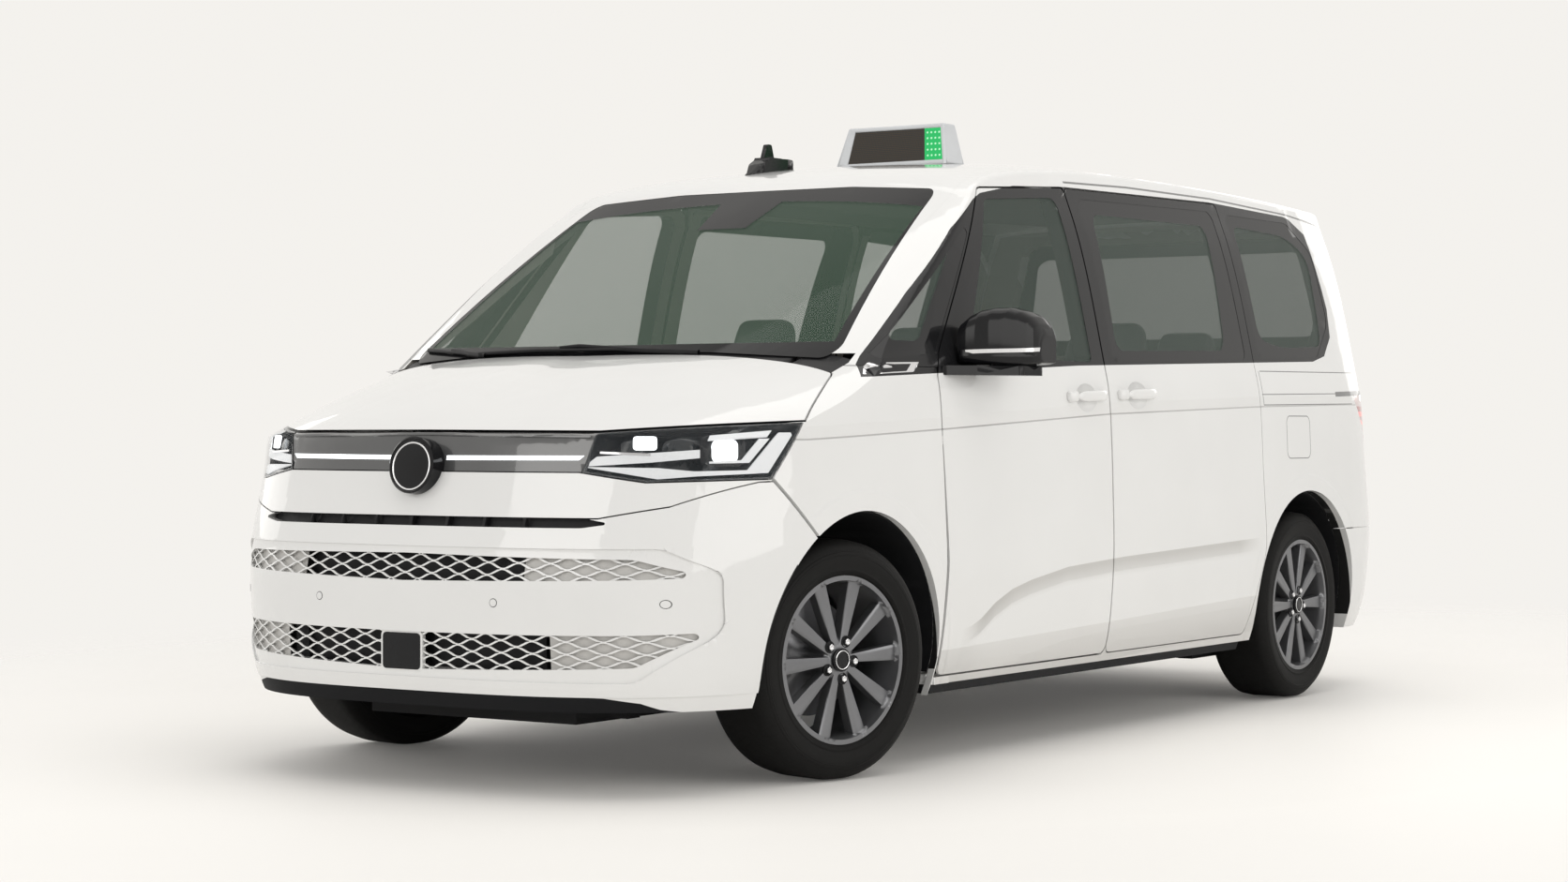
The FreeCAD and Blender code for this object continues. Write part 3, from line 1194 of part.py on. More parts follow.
# Mirrors on the front doors: a shell lofted outwards, and the arm below it
MIRROR = number(named("mirror_reach")) / 2
MIRROR_LOW = 1206.0
MIRROR_SECTIONS = [
    (MIRROR - 178, -556, -700, MIRROR_LOW, 1336), (MIRROR - 126, -572, -748, MIRROR_LOW, 1370),
    (MIRROR - 66, -626, -802, MIRROR_LOW, 1377), (MIRROR - 20, -694, -840, MIRROR_LOW + 1, 1350),
    (MIRROR, -748, -850, MIRROR_LOW + 8, 1296),
]
MIRROR_ARM = [
    (-456, 900, 0), (-474, 952, 20), (-560, 1012, 60), (-690, 1096, 60), (-800, MIRROR - 12, 30),
    (-824, 1060, 20), (-700, 962, 30), (-620, 950, 20), (-600, 900, 0),
]
MIRROR_NECK = [(-610, 1010, 10), (-700, 1090, 20), (-790, 1100, 10), (-760, 1020, 10)]
ARM_FLOOR = 1172.0
ARM_TOP = 1201.0
rings = []
for y, front_x, back_x, low, high in MIRROR_SECTIONS:
    outline = [(back_x, low, 8), (front_x, low, 25), (front_x - 18, high, 42), (back_x, high - 8, 12)]
    rings.append(rounded_wire(outline, lambda u, v, y=y: V(FRONT + u, y, v)))
mirror = Part.makeLoft(rings, True, False)
mirror_arm = plan_prism(MIRROR_ARM, ARM_FLOOR, ARM_TOP)
mirror = mirror.fuse([mirror_arm, plan_prism(MIRROR_NECK, ARM_TOP - 1, MIRROR_LOW + 20)])
mirror = solids(mirror.cut(over_roof))
add_feature("mirror_left", mirror)
add_feature("mirror_right", mirrored(mirror))

doc.recompute()
for item in doc.Objects:
    if "Invalid" in item.State or "Error" in item.State:
        raise RuntimeError("failed: " + item.Label)
os.makedirs("parts", exist_ok=True)
for name, feature in sorted(parts.items()):
    shape = feature.Shape
    if shape.isNull() or not shape.isValid():
        raise RuntimeError("no sound shape: " + name)
    shape.exportStep("parts/%s.step" % name)
    print(name, len(shape.Solids), round(shape.Volume / 1e6, 3))
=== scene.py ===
# %% [markdown]
# # A taxi cab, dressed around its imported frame
# The construction model gives every panel, pane and wheel at its real place and size. This lesson gives
# them their looks: paint, glass, rubber, lamps, grilles and trim. Lengths are metres, +X points forward,
# +Y to the vehicle's left and +Z up, so a piece goes where the construction model says.
# %% The frame and its box
import math
import json
import bpy
import bmesh
from mathutils import Matrix, Vector
from mathutils.bvhtree import BVHTree

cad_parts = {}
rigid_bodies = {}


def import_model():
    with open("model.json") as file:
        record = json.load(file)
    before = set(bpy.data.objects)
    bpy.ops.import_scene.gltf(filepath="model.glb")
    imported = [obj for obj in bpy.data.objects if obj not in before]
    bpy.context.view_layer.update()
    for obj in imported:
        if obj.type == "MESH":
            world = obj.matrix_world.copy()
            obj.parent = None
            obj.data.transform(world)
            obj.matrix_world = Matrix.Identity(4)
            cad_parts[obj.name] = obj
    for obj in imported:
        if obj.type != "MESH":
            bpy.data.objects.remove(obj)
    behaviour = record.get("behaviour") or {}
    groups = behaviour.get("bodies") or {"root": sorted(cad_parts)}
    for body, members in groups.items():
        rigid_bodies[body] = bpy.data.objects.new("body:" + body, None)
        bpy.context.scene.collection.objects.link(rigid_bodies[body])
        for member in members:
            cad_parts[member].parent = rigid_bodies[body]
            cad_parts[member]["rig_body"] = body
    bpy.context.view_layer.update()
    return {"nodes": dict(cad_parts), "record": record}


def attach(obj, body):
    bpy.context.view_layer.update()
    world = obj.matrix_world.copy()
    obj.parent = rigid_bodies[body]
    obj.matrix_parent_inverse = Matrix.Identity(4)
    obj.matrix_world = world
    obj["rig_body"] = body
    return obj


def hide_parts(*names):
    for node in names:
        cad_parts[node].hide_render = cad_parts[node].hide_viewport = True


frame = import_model()
nodes = frame["nodes"]
FRONT = 1.5745
REAR = -1.5495
HALF_TRACK = 0.8205

# %% [markdown]
# ## Camera
# The photograph was taken from ahead and to the left, at about the height of the door handles, with a long
# lens. The same place and lens are used here, so that the two pictures can be laid side by side.
# %% Camera
CAMERA_PLACE = Vector((8.9085, 5.5583, 1.0275))
CAMERA_HEADING = -2.555
CAMERA_PITCH = -0.006
LENS_PIXELS = 3208.26
PHOTO_WIDTH = 1672
camera_data = bpy.data.cameras.new("camera")
camera = bpy.data.objects.new("camera", camera_data)
bpy.context.collection.objects.link(camera)
forward = Vector((math.cos(CAMERA_HEADING), math.sin(CAMERA_HEADING), math.tan(CAMERA_PITCH)))
camera.location = CAMERA_PLACE
camera.rotation_euler = forward.to_track_quat("-Z", "Y").to_euler()
camera_data.sensor_width = 36.0
camera_data.lens = LENS_PIXELS / PHOTO_WIDTH * camera_data.sensor_width
camera_data.clip_end = 200
bpy.context.scene.camera = camera

# %% [markdown]
# ## Shader words
# A material is easier to read as arithmetic than as a web of nodes. One small class wraps a socket, so that
# adding or multiplying two of them makes the Math node, and one method makes any other node.
# %% Shader words


class Wire:
    """A socket of a material's node, with Python's operators."""

    def __init__(self, sheet, socket):
        self.sheet = sheet
        self.socket = socket

    def maths(self, operation, *values):
        return self.sheet.node("ShaderNodeMath", {"operation": operation}, dict(enumerate(values)))

    def __add__(self, other):
        return self.maths("ADD", self, other)

    def __sub__(self, other):
        return self.maths("SUBTRACT", self, other)

    def __rsub__(self, other):
        return self.maths("SUBTRACT", other, self)

    def __mul__(self, other):
        return self.maths("MULTIPLY", self, other)

    def __truediv__(self, other):
        return self.maths("DIVIDE", self, other)

    __radd__ = __add__
    __rmul__ = __mul__

    def clamped(self):
        return self.maths("MINIMUM", self.maths("MAXIMUM", self, 0.0), 1.0)

    def absolute(self):
        return self.maths("ABSOLUTE", self)

    def fraction(self):
        return self.maths("FRACT", self)

    def below(self, limit):
        return self.maths("LESS_THAN", self, limit)

    def above(self, limit):
        return self.maths("GREATER_THAN", self, limit)

    def rise(self, low, high):
        """0 below low, 1 above high and a straight rise between."""
        return ((self - low) / (high - low)).clamped()

    def greater(self, other):
        return self.maths("MAXIMUM", self, other)

    def squared(self):
        return self * self

    def root(self):
        return self.maths("SQRT", self)

    def broken_line(self, points):
        """The height, at this place, of a line with bends at these points."""
        points = sorted(points)
        height = points[0][1]
        for (start, low), (end, high) in zip(points, points[1:]):
            height = self.rise(start, end) * (high - low) + height
        return height


class Sheet:
    """One material: its node tree and its surface shader."""

    def __init__(self, name):
        self.material = bpy.data.materials.new(name)
        self.material.use_nodes = True
        self.tree = self.material.node_tree
        self.shader = self.tree.nodes["Principled BSDF"]

    def node(self, kind, settings=None, inputs=None, output=0):
        made = self.tree.nodes.new(kind)
        for key, value in (settings or {}).items():
            setattr(made, key, value)
        for key, value in (inputs or {}).items():
            self.feed(made.inputs[key], value)
        return Wire(self, made.outputs[output])

    def feed(self, socket, value):
        if isinstance(value, Wire):
            self.tree.links.new(value.socket, socket)
        elif isinstance(value, tuple) and len(value) == 3 and socket.type == "RGBA":
            socket.default_value = (*value, 1.0)
        else:
            socket.default_value = value

    def set(self, **values):
        for name, value in values.items():
            self.feed(self.shader.inputs[name.replace("_", " ")], value)

    def place(self):
        return self.node("ShaderNodeTexCoord", output=3)

    def axes(self):
        split = self.node("ShaderNodeSeparateXYZ", inputs={0: self.place()})
        outputs = split.socket.node.outputs
        return [Wire(self, outputs[i]) for i in range(3)]

    def noise(self, scale, detail=2.0, rough=0.5):
        return self.node("ShaderNodeTexNoise", {}, {"Vector": self.place(), "Scale": scale,
                                                    "Detail": detail, "Roughness": rough})

    def blend(self, factor, first, second):
        mix = self.tree.nodes.new("ShaderNodeMix")
        mix.data_type = "RGBA"
        self.feed(mix.inputs[0], factor)
        self.feed(mix.inputs[6], first)
        self.feed(mix.inputs[7], second)
        return Wire(self, mix.outputs[2])

    def bump(self, height, strength, distance):
        inputs = {"Strength": strength, "Distance": distance, "Height": height}
        return self.node("ShaderNodeBump", inputs=inputs)


# %% [markdown]
# ## Stage and light
# The photograph has a plain, warm off-white floor and wall and very soft light from above and from both
# sides. Large soft lamps give the long gentle highlights along the paint. The backdrop shows its own colour
# to the camera, to mirrors and through glass. The floor fades out a few metres away, so no horizon shows.
# %% Stage and light
STAGE_COLOUR = (0.905, 0.885, 0.85)
DAYLIGHT = (0.95, 0.94, 0.925)
DAYLIGHT_STRENGTH = 0.6
LAMP_COLOUR = (1, 0.985, 0.96)
FLOOR_SIZE = 30
FLOOR_DROP = 0.0005
FLOOR_MIDDLE = (-0.3, 0.2)
FLOOR_FADE = (2.4, 5.6)
FLOOR_GLOW = 0.06
# Each lamp's name, place, target, width, height and power in watts.
LAMPS = (
    ("overhead", (0.5, 0.5, 6.0), (0, 0, 0.5), 7.0, 5.0, 128),
    ("left_wall", (1.0, 7.5, 2.6), (0, 0, 0.9), 7.0, 3.5, 142),
    ("front_wall", (8.5, -0.5, 2.8), (1.5, 0, 0.8), 5.0, 3.0, 105),
    ("right_wall", (0.0, -7.5, 2.8), (0, 0, 0.9), 7.0, 3.0, 70),
    ("back_wall", (-8.0, 0.0, 3.0), (-1.5, 0, 1.0), 5.0, 3.0, 60),
)


def new_mesh(name, add, **settings):
    """One of Blender's basic meshes under a name. add is the operator that makes it."""
    bpy.ops.object.select_all(action="DESELECT")
    add(**settings)
    obj = bpy.context.object
    obj.name = name
    obj.data.name = name
    return obj


def make_floor():
    floor = new_mesh("studio_floor", bpy.ops.mesh.primitive_plane_add, size=FLOOR_SIZE,
                     location=(0, 0, -FLOOR_DROP))
    sheet = Sheet("studio_floor")
    tone = sheet.noise(0.7).rise(0.3, 0.7)
    x, y = sheet.axes()[:2]
    away = ((x - FLOOR_MIDDLE[0]).squared() * 0.55 + (y - FLOOR_MIDDLE[1]).squared()).root()
    sheet.set(Base_Color=sheet.blend(tone, (0.93, 0.912, 0.88), (0.91, 0.892, 0.86)), Roughness=0.6)
    looked_at = sheet.node("ShaderNodeLightPath")
    sheet.set(Alpha=1 - away.rise(*FLOOR_FADE), Emission_Strength=FLOOR_GLOW)
    sheet.set(Emission_Color=sheet.blend(looked_at, (0, 0, 0), STAGE_COLOUR))
    floor.data.materials.append(sheet.material)


def area_lamp(name, place, target, wide, high, power):
    data = bpy.data.lights.new(name, "AREA")
    data.shape = "RECTANGLE"
    data.size = wide
    data.size_y = high
    data.energy = power
    data.color = LAMP_COLOUR
    lamp = bpy.data.objects.new(name, data)
    lamp.location = place
    lamp.rotation_euler = (Vector(target) - Vector(place)).to_track_quat("-Z", "Y").to_euler()
    bpy.context.collection.objects.link(lamp)


def make_world():
    """Daylight for the object, and the backdrop's colour for what looks at it, straight or by a mirror."""
    world = bpy.data.worlds.new("studio")
    bpy.context.scene.world = world
    world.use_nodes = True
    tree = world.node_tree
    light = tree.nodes["Background"]
    light.inputs["Color"].default_value = (*DAYLIGHT, 1)
    light.inputs["Strength"].default_value = DAYLIGHT_STRENGTH
    seen = tree.nodes.new("ShaderNodeBackground")
    seen.inputs["Color"].default_value = (*STAGE_COLOUR, 1)
    rays = tree.nodes.new("ShaderNodeLightPath")
    straight = tree.nodes.new("ShaderNodeMath")
    straight.operation = "MAXIMUM"
    any_look = tree.nodes.new("ShaderNodeMath")
    any_look.operation = "MAXIMUM"
    tree.links.new(rays.outputs["Is Camera Ray"], straight.inputs[0])
    tree.links.new(rays.outputs["Is Glossy Ray"], straight.inputs[1])
    tree.links.new(straight.outputs[0], any_look.inputs[0])
    tree.links.new(rays.outputs["Is Transmission Ray"], any_look.inputs[1])
    mix = tree.nodes.new("ShaderNodeMixShader")
    tree.links.new(any_look.outputs[0], mix.inputs[0])
    tree.links.new(light.outputs[0], mix.inputs[1])
    tree.links.new(seen.outputs[0], mix.inputs[2])
    tree.links.new(mix.outputs[0], tree.nodes["World Output"].inputs[0])


make_floor()
make_world()
for lamp_facts in LAMPS:
    area_lamp(*lamp_facts)
bpy.context.scene.view_settings.view_transform = "Standard"

# %% [markdown]
# ## Body paint with its pressed lines
# The real panels are sheet metal with shallow pressed lines: a crease below the windows, a curved swage low
# on the doors, a lip round each wheel arch and a dish behind each handle. A bump that reads the place on
# the body gives them their light and shade without any extra faces. Painted shade, a darker colour, lies in
# the swage's recess, in a thin line along the crease and on the doors' lower edge where it turns under.
# Above the belt the door frames and pillars are black, and the same place decides the colour.
# %% Lines pressed into the sides
ARCH_RADIUS = 0.435
ARCH_HEIGHT = 0.340
# Depths and heights of the pressed lines, in millimetres.
CREASE_DEPTH = 5.5
SWAGE_DEPTH = 18
TUCK_DEPTH = 42
LIP_HEIGHT = 2.6
DISH_DEPTH = 17
JOINT_DEPTH = 1.2
JOINT_HALF = 0.0016
ARCH_RETURN_INSIDE = 0.946


def from_axle(*points):
    """Points given in millimetres behind the front axle and above the floor, in metres of the frame."""
    return [(FRONT + x / 1000, z / 1000) for x, z in points]


CREASE = from_axle((266, 983), (-450, 1011), (-1526, 1059), (-2685, 1088), (-3520, 1100))
SWAGE = from_axle((-566, 400), (-620, 409), (-676, 428), (-760, 474), (-863, 511), (-980, 534), (-1227, 566),
                  (-1621, 584), (-2650, 612))
TUCK = from_axle((-495, 343), (-1544, 371), (-2624, 403))
BELT = from_axle((-51, 1161), (-1348, 1214), (-3243, 1259))
HANDLES = from_axle((-1372, 1110), (-1738, 1120))
FRAME_TOP = from_axle((-51, 1161), (-128, 1224), (-401, 1421), (-704, 1630), (-884, 1732), (-944, 1756),
                      (-1183, 1795), (-1549, 1815), (-2656, 1832), (-3298, 1815), (-3600, 1760))
FRAME_REAR = [(1.20, FRONT - 3.225), (1.259, FRONT - 3.243), (1.282, FRONT - 3.361), (1.356, FRONT - 3.449),
              (1.465, FRONT - 3.473), (1.754, FRONT - 3.445), (1.835, FRONT - 3.290)]


def distance_to(x, z, place):
    return ((x - place[0]).squared() + (z - place[1]).squared()).root()


def swage_share(x):
    """1 along the swage, with a fade to 0 at both of its ends."""
    return (1 - x.rise(FRONT - 0.70, FRONT - 0.57)) * x.rise(FRONT - 2.70, FRONT - 2.50)


def between_arches(x):
    """1 along the doors and 0 from the wheel arches on."""
    return x.above(FRONT - 2.75) * x.below(FRONT - 0.45)


def pressed_side(x, z):
    """The height of the pressed lines of the body's sides, in millimetres."""
    over = z - x.broken_line(CREASE)
    height = (over.rise(0, 0.034) - 1) * over.rise(-0.005, 0.0) * CREASE_DEPTH
    under = x.broken_line(SWAGE) - z
    height = height - (under.rise(0, 0.045) - under.rise(0.05, 0.24)) * swage_share(x) * SWAGE_DEPTH
    height = height - (x.broken_line(TUCK) - z).rise(0, 0.13) * between_arches(x) * TUCK_DEPTH
    for axle in (FRONT, REAR):
        reach = distance_to(x, z, (axle, ARCH_HEIGHT))
        height = height + (1 - reach.rise(ARCH_RADIUS + 0.052, ARCH_RADIUS + 0.064)) * LIP_HEIGHT
    for across, up in HANDLES:
        out = ((x - across) / 0.074).squared() + ((z - up) / 0.046).squared()
        height = height - (1 - out).clamped() * DISH_DEPTH
    return height


def painted_side_shade(sheet, colour, x, z):
    """The paint's colour with painted shade: darker in the swage's recess, on the lower edge that turns under
    and in a thin line along the crease.
    """
    under = x.broken_line(SWAGE) - z
    # Painted shade: the swage's recess is darker just below its line, where its shadow falls.
    swage_painted_shade = under.rise(-0.001, 0.002) * (1 - under.rise(0.012, 0.062)) * swage_share(x)
    tuck = x.broken_line(TUCK) - z
    # Painted shade: the lower edge is darker where it turns under, more so towards the bottom.
    tuck_painted_shade = tuck.rise(-0.002, 0.002) * between_arches(x) * (0.10 + tuck.rise(0, 0.12) * 0.22)
    # Painted shade: a thin dark line along the crease stands for its shadow.
    crease = (x.broken_line(CREASE) - z - 0.0015).absolute().below(0.0022)
    colour = sheet.blend(swage_painted_shade * 0.42, colour, (0.36, 0.34, 0.31))
    colour = sheet.blend(tuck_painted_shade, colour, (0.40, 0.37, 0.33))
    return sheet.blend(crease * 0.35, colour, (0.30, 0.28, 0.25))


def groove(x, z, start, end, half=JOINT_HALF):
    """1 along a straight line between two places on the side, 0 elsewhere."""
    run = Vector((end[0] - start[0], end[1] - start[1]))
    length = run.length
    run = run / length
    forward = (x - start[0]) * run.x + (z - start[1]) * run.y
    aside = ((x - start[0]) * -run.y + (z - start[1]) * run.x).absolute()
    return aside.below(half) * forward.above(0) * forward.below(length)


def rounded_line(x, z, centre, half_wide, half_high, corner):
    """1 along the edge of a rounded rectangle, such as a flap."""
    along_x = (x - centre[0]).absolute() - (half_wide - corner)
    along_z = (z - centre[1]).absolute() - (half_high - corner)
    edge = (along_x.greater(0).squared() + along_z.greater(0).squared()).root() - corner
    return edge.absolute().below(JOINT_HALF)


def make_paint(name, side=False, lines=()):
    """White paint under clear coat. A side has pressed lines, painted shade along them and black window
    frames; lines are joints.
    """
    sheet = Sheet(name)
    x, y, z = sheet.axes()
    cloud = sheet.noise(3.0).rise(0.3, 0.7)
    colour = sheet.blend(cloud, (0.80, 0.80, 0.79), (0.82, 0.82, 0.81))
    height = sheet.noise(420.0, 1.0) * 0.012
    rough = 0.32
    coat = 1.0
    if side:
        height = height + pressed_side(x, z)
    for line in lines:
        mark = line(x, y, z)
        colour = sheet.blend(mark * 0.82, colour, (0.02, 0.02, 0.022))
        height = height - mark * JOINT_DEPTH
    if side:
        inside = (z - x.broken_line(BELT)).above(0) * (x.broken_line(FRAME_TOP) - z).above(0)
        inside = inside * (x - z.broken_line(FRAME_REAR)).above(0)
        colour = sheet.blend(inside, colour, (0.012, 0.012, 0.013))
        rough = 0.32 - inside * 0.14
        coat = 1 - inside * 0.75
        # Painted shade: darker colour in the swage's recess, on the lower edge and along the crease.
        colour = painted_side_shade(sheet, colour, x, z)
    for axle in (FRONT, REAR):
        in_arch = distance_to(x, z, (axle, ARCH_HEIGHT)).below(ARCH_RADIUS + 0.003)
        in_arch = in_arch * y.absolute().below(ARCH_RETURN_INSIDE)
        colour = sheet.blend(in_arch, colour, (0.02, 0.02, 0.02))
    sheet.set(Base_Color=colour, Roughness=rough, Coat_Weight=coat, Coat_Roughness=0.03)
    sheet.set(Specular_IOR_Level=0.1)
    sheet.set(Normal=sheet.bump(height, 1.0, 0.001))
    return sheet.material


RAIL = [from_axle((-2745, 1216), (-3680, 1222)), from_axle((-2735, 1131), (-3560, 1141)),
        from_axle((-2743, 1093), (-3560, 1101)), from_axle((-2743, 1093), (-2735, 1216))]
RAIL_SLOT = from_axle((-3401, 1137), (-3720, 1145))
FLAP = (FRONT - 3.036, 0.975)
ROOF_GROOVE = from_axle((-1547, 1831), (-2010, 1844), (-2679, 1846), (-3334, 1824), (-3700, 1790))


def side_lines(x, y, z):
    """The slot for the sliding door's arm, and the edges of the rail's cover and the filler flap."""
    mark = groove(x, z, *RAIL_SLOT, half=0.009)
    for start, end in RAIL:
        mark = mark.greater(groove(x, z, start, end))
    left = y.above(0)
    return mark.greater(rounded_line(x, z, FLAP, 0.104, 0.078, 0.028) * left)


def roof_line(x, y, z):
    """The long black joint between the roof panel and the side, with its rounded front end."""
    aside = (z - x.broken_line(ROOF_GROOVE)).absolute()
    return aside.below(0.0034) * x.below(FRONT - 1.545) * y.absolute().above(0.72)


paint = make_paint("body_paint")
side_paint = make_paint("side_paint", side=True, lines=(side_lines, roof_line))
door_paint = make_paint("door_paint", side=True)
wing_paint = make_paint("wing_paint", side=True)
roof_paint = make_paint("roof_paint", lines=(roof_line,))

# %% [markdown]
# ## Rubber, plastics, metals and lamps
# Each finish is a small recipe: what colour it is, how rough, and what fine texture breaks it up. Moulded
# plastic has a leather-like grain, tyre rubber a dusty unevenness, cast metal a coarse one.
# %% Grained finishes


def grained(name, colour, rough, grain_scale, grain_depth, spread=0.12, **more):
    sheet = Sheet(name)
    grain = sheet.node("ShaderNodeTexVoronoi", {}, {"Vector": sheet.place(), "Scale": grain_scale})
    patch = sheet.noise(6.0, 4.0).rise(0.3, 0.7)
    light = tuple(min(c * (1 + spread) + 0.004, 1) for c in colour)
    sheet.set(Base_Color=sheet.blend(patch, colour, light), Roughness=rough + (patch - 0.5) * 0.08)
    sheet.set(Normal=sheet.bump(grain, 0.25, grain_depth), **more)
    return sheet.material


def glowing(name, colour, strength, body=(0.8, 0.8, 0.8)):
    """A lit light guide, with a faint unevenness along it. body is its colour when it is off."""
    sheet = Sheet(name)
    patch = sheet.noise(90.0, 2.0).rise(0.2, 0.8)
    dim = tuple(c * 0.86 for c in colour)
    sheet.set(Base_Color=body, Roughness=0.2, Emission_Color=sheet.blend(patch, dim, colour))
    sheet.set(Emission_Strength=strength)
    return sheet.material


finish = {
    "body_paint": paint,
    "lower_black": grained("lower_black", (0.009, 0.0093, 0.0105), 0.6, 900, 0.0004, Specular_IOR_Level=0.15),
    "gloss_black": grained("gloss_black", (0.006, 0.006, 0.007), 0.16, 500, 0.00003, Specular_IOR_Level=0.25),
    "grille_black": grained("grille_black", (0.008, 0.008, 0.009), 0.5, 700, 0.0002, Specular_IOR_Level=0.2),
    "lamp_housing": grained("lamp_housing", (0.016, 0.019, 0.021), 0.25, 300, 0.00003, Coat_Weight=0.3),
    "lamp_red": grained("lamp_red", (0.50, 0.008, 0.010), 0.12, 300, 0.0001, Coat_Weight=1.0),
    "tyre_rubber": grained("tyre_rubber", (0.011, 0.011, 0.0115), 0.7, 420, 0.0005, Specular_IOR_Level=0.22),
    "wheel_alloy": grained("wheel_alloy", (0.17, 0.172, 0.18), 0.32, 1200, 0.00006, Metallic=0.7),
    "chassis_dark": grained("chassis_dark", (0.012, 0.012, 0.013), 0.6, 300, 0.0006, Specular_IOR_Level=0.15),
    "cast_dark": grained("cast_dark", (0.40, 0.40, 0.41), 0.36, 260, 0.0004, Metallic=0.9),
    "exhaust_steel": grained("exhaust_steel", (0.36, 0.34, 0.31), 0.42, 300, 0.0003, Metallic=1.0),
    "cabin_dark": grained("cabin_dark", (0.030, 0.031, 0.034), 0.62, 800, 0.0005),
    "seat_dark": grained("seat_dark", (0.040, 0.042, 0.045), 0.85, 1500, 0.0006),
    "seat_light": grained("seat_light", (0.44, 0.41, 0.37), 0.55, 700, 0.0005),
    "sign_grey": grained("sign_grey", (0.56, 0.575, 0.59), 0.35, 500, 0.0001),
}
strip_grey = grained("strip_grey", (0.06, 0.061, 0.062), 0.22, 500, 0.00002, Coat_Weight=1.0)
pillar_trim = grained("pillar_trim", (0.42, 0.40, 0.365), 0.7, 900, 0.0004)
# Painted shade: the grey of the blind cells' floors stands for the shade in them; the floors are white.
blind_shade = grained("blind_shade", (0.52, 0.51, 0.49), 0.5, 600, 0.0001)
roof_lining = grained("roof_lining", (0.20, 0.195, 0.185), 0.9, 1400, 0.0006)
bright_metal = grained("bright_metal", (0.72, 0.72, 0.73), 0.16, 900, 0.00003, Metallic=1.0)
lit_white = glowing("lit_white", (0.93, 0.97, 1.0), 2.4)
lit_soft = glowing("lit_soft", (0.86, 0.90, 0.93), 0.35)
lit_green = glowing("lit_green", (0.005, 0.55, 0.13), 0.9, (0.0, 0.05, 0.012))
lit_dot = glowing("lit_dot", (0.55, 1.0, 0.66), 0.85, (0.1, 0.2, 0.12))

# %% [markdown]
# ## Window glass
# The real panes are tinted, and their edges carry a printed black border that hides the glue. One function
# gives the clear field of a pane as a shape with straight edges and rounded corners, and everything
# outside it is opaque black. Clear and black both keep the sheen of glass.
# %% Window glass


def clear_field(across, up, corners, radius):
    """1 inside a convex shape given by its corners, which run anticlockwise, and 0 outside it."""
    shared = 0.0
    for (x0, z0), (x1, z1) in zip(corners, corners[1:] + corners[:1]):
        run = Vector((x1 - x0, z1 - z0)).normalized()
        outside = (across - x0) * run.y - (up - z0) * run.x
        shared = (outside + radius).greater(0).squared() + shared
    return 1 - (shared.root() - radius).rise(-0.001, 0.001)


def make_glass(name, colour, alpha, field=None, rough=0.0, sheen=0.28):
    """field takes the material's x, y and z and gives 1 where the pane is clear."""
    sheet = Sheet(name)
    dust = sheet.noise(40.0, 3.0).rise(0.4, 0.8)
    if field is None:
        sheet.set(Base_Color=colour, Alpha=alpha, Roughness=rough + dust * 0.02)
    else:
        clear = field(*sheet.axes())
        sheet.set(Base_Color=sheet.blend(clear, PRINTED_BLACK, colour))
        sheet.set(Alpha=1 - clear * (1 - alpha), Roughness=rough + dust * 0.02)
    sheet.set(IOR=1.5, Specular_IOR_Level=sheen)
    return sheet.material


PRINTED_BLACK = (0.010, 0.010, 0.011)
SLIDER_FIELD = from_axle((-2485, 1286), (-1640, 1268), (-1676, 1730), (-2555, 1738))
REAR_FIELD = from_axle((-3350, 1318), (-2905, 1303), (-2796, 1340), (-2796, 1750), (-3275, 1735),
                       (-3400, 1655))
CORNER_FIELD = from_axle((-372, 1272), (-222, 1274), (-640, 1600), (-706, 1618))
GATE_FIELD = [(-0.655, 1.375), (0.655, 1.375), (0.60, 1.715), (-0.60, 1.715)]
SIDE_TINT = (0.095, 0.128, 0.108)


def quarter_clear(x, y, z):
    rear = clear_field(x, z, REAR_FIELD, 0.045)
    return rear.greater(clear_field(x, z, CORNER_FIELD, 0.02))


def slider_clear(x, y, z):
    return clear_field(x, z, SLIDER_FIELD, 0.05)


def screen_clear(x, y, z):
    """The windscreen inside its border, without the sensor housing at the top."""
    side = 0.772 - (z - 1.266) * 0.2 - y.absolute()
    top = 1.752 - y.squared() * 0.09 - z
    sensor = 0.094 - y.absolute() + (z - 1.66).absolute() * 0.3
    housing = sensor.above(0) * z.above(1.655)
    low = z - 1.262 - y.squared() * 0.01
    return side.rise(0, 0.002) * top.rise(0, 0.002) * low.rise(0, 0.002) * (1 - housing)


def gate_clear(x, y, z):
    return clear_field(y, z, GATE_FIELD, 0.05)


glass = {
    "quarter_glass": make_glass("quarter_glass", SIDE_TINT, 0.37, quarter_clear),
    "sliding_door_glass": make_glass("sliding_door_glass", SIDE_TINT, 0.37, slider_clear),
    "windscreen": make_glass("screen_glass", (0.105, 0.170, 0.122), 0.27, screen_clear, 0.03, 0.12),
    "tailgate_glass": make_glass("gate_glass", SIDE_TINT, 0.55, gate_clear),
    "door_glass_left": make_glass("door_glass", SIDE_TINT, 0.30),
    "headlamps": make_glass("lamp_clear", (0.10, 0.11, 0.12), 0.10),
}
glass["door_glass_right"] = glass["door_glass_left"]
finish["tinted_glass"] = glass["door_glass_left"]
finish["lamp_clear"] = glass["headlamps"]
SIDES = ("body_side_left", "body_side_right")
DOOR_PANELS = ("front_door_left", "front_door_right", "sliding_door_left", "sliding_door_right")
own_look = {**glass, **dict.fromkeys(SIDES, side_paint), **dict.fromkeys(DOOR_PANELS, door_paint),
            "front_wings": wing_paint, "roof": roof_paint, "light_strip": strip_grey}
slot_of = {part["node"]: part["material_slot"] for part in frame["record"]["subparts"]}


def dress(obj, look):
    obj.data.materials.clear()
    obj.data.materials.append(look)


for name, node in nodes.items():
    dress(node, own_look.get(name, finish[slot_of[name]]))

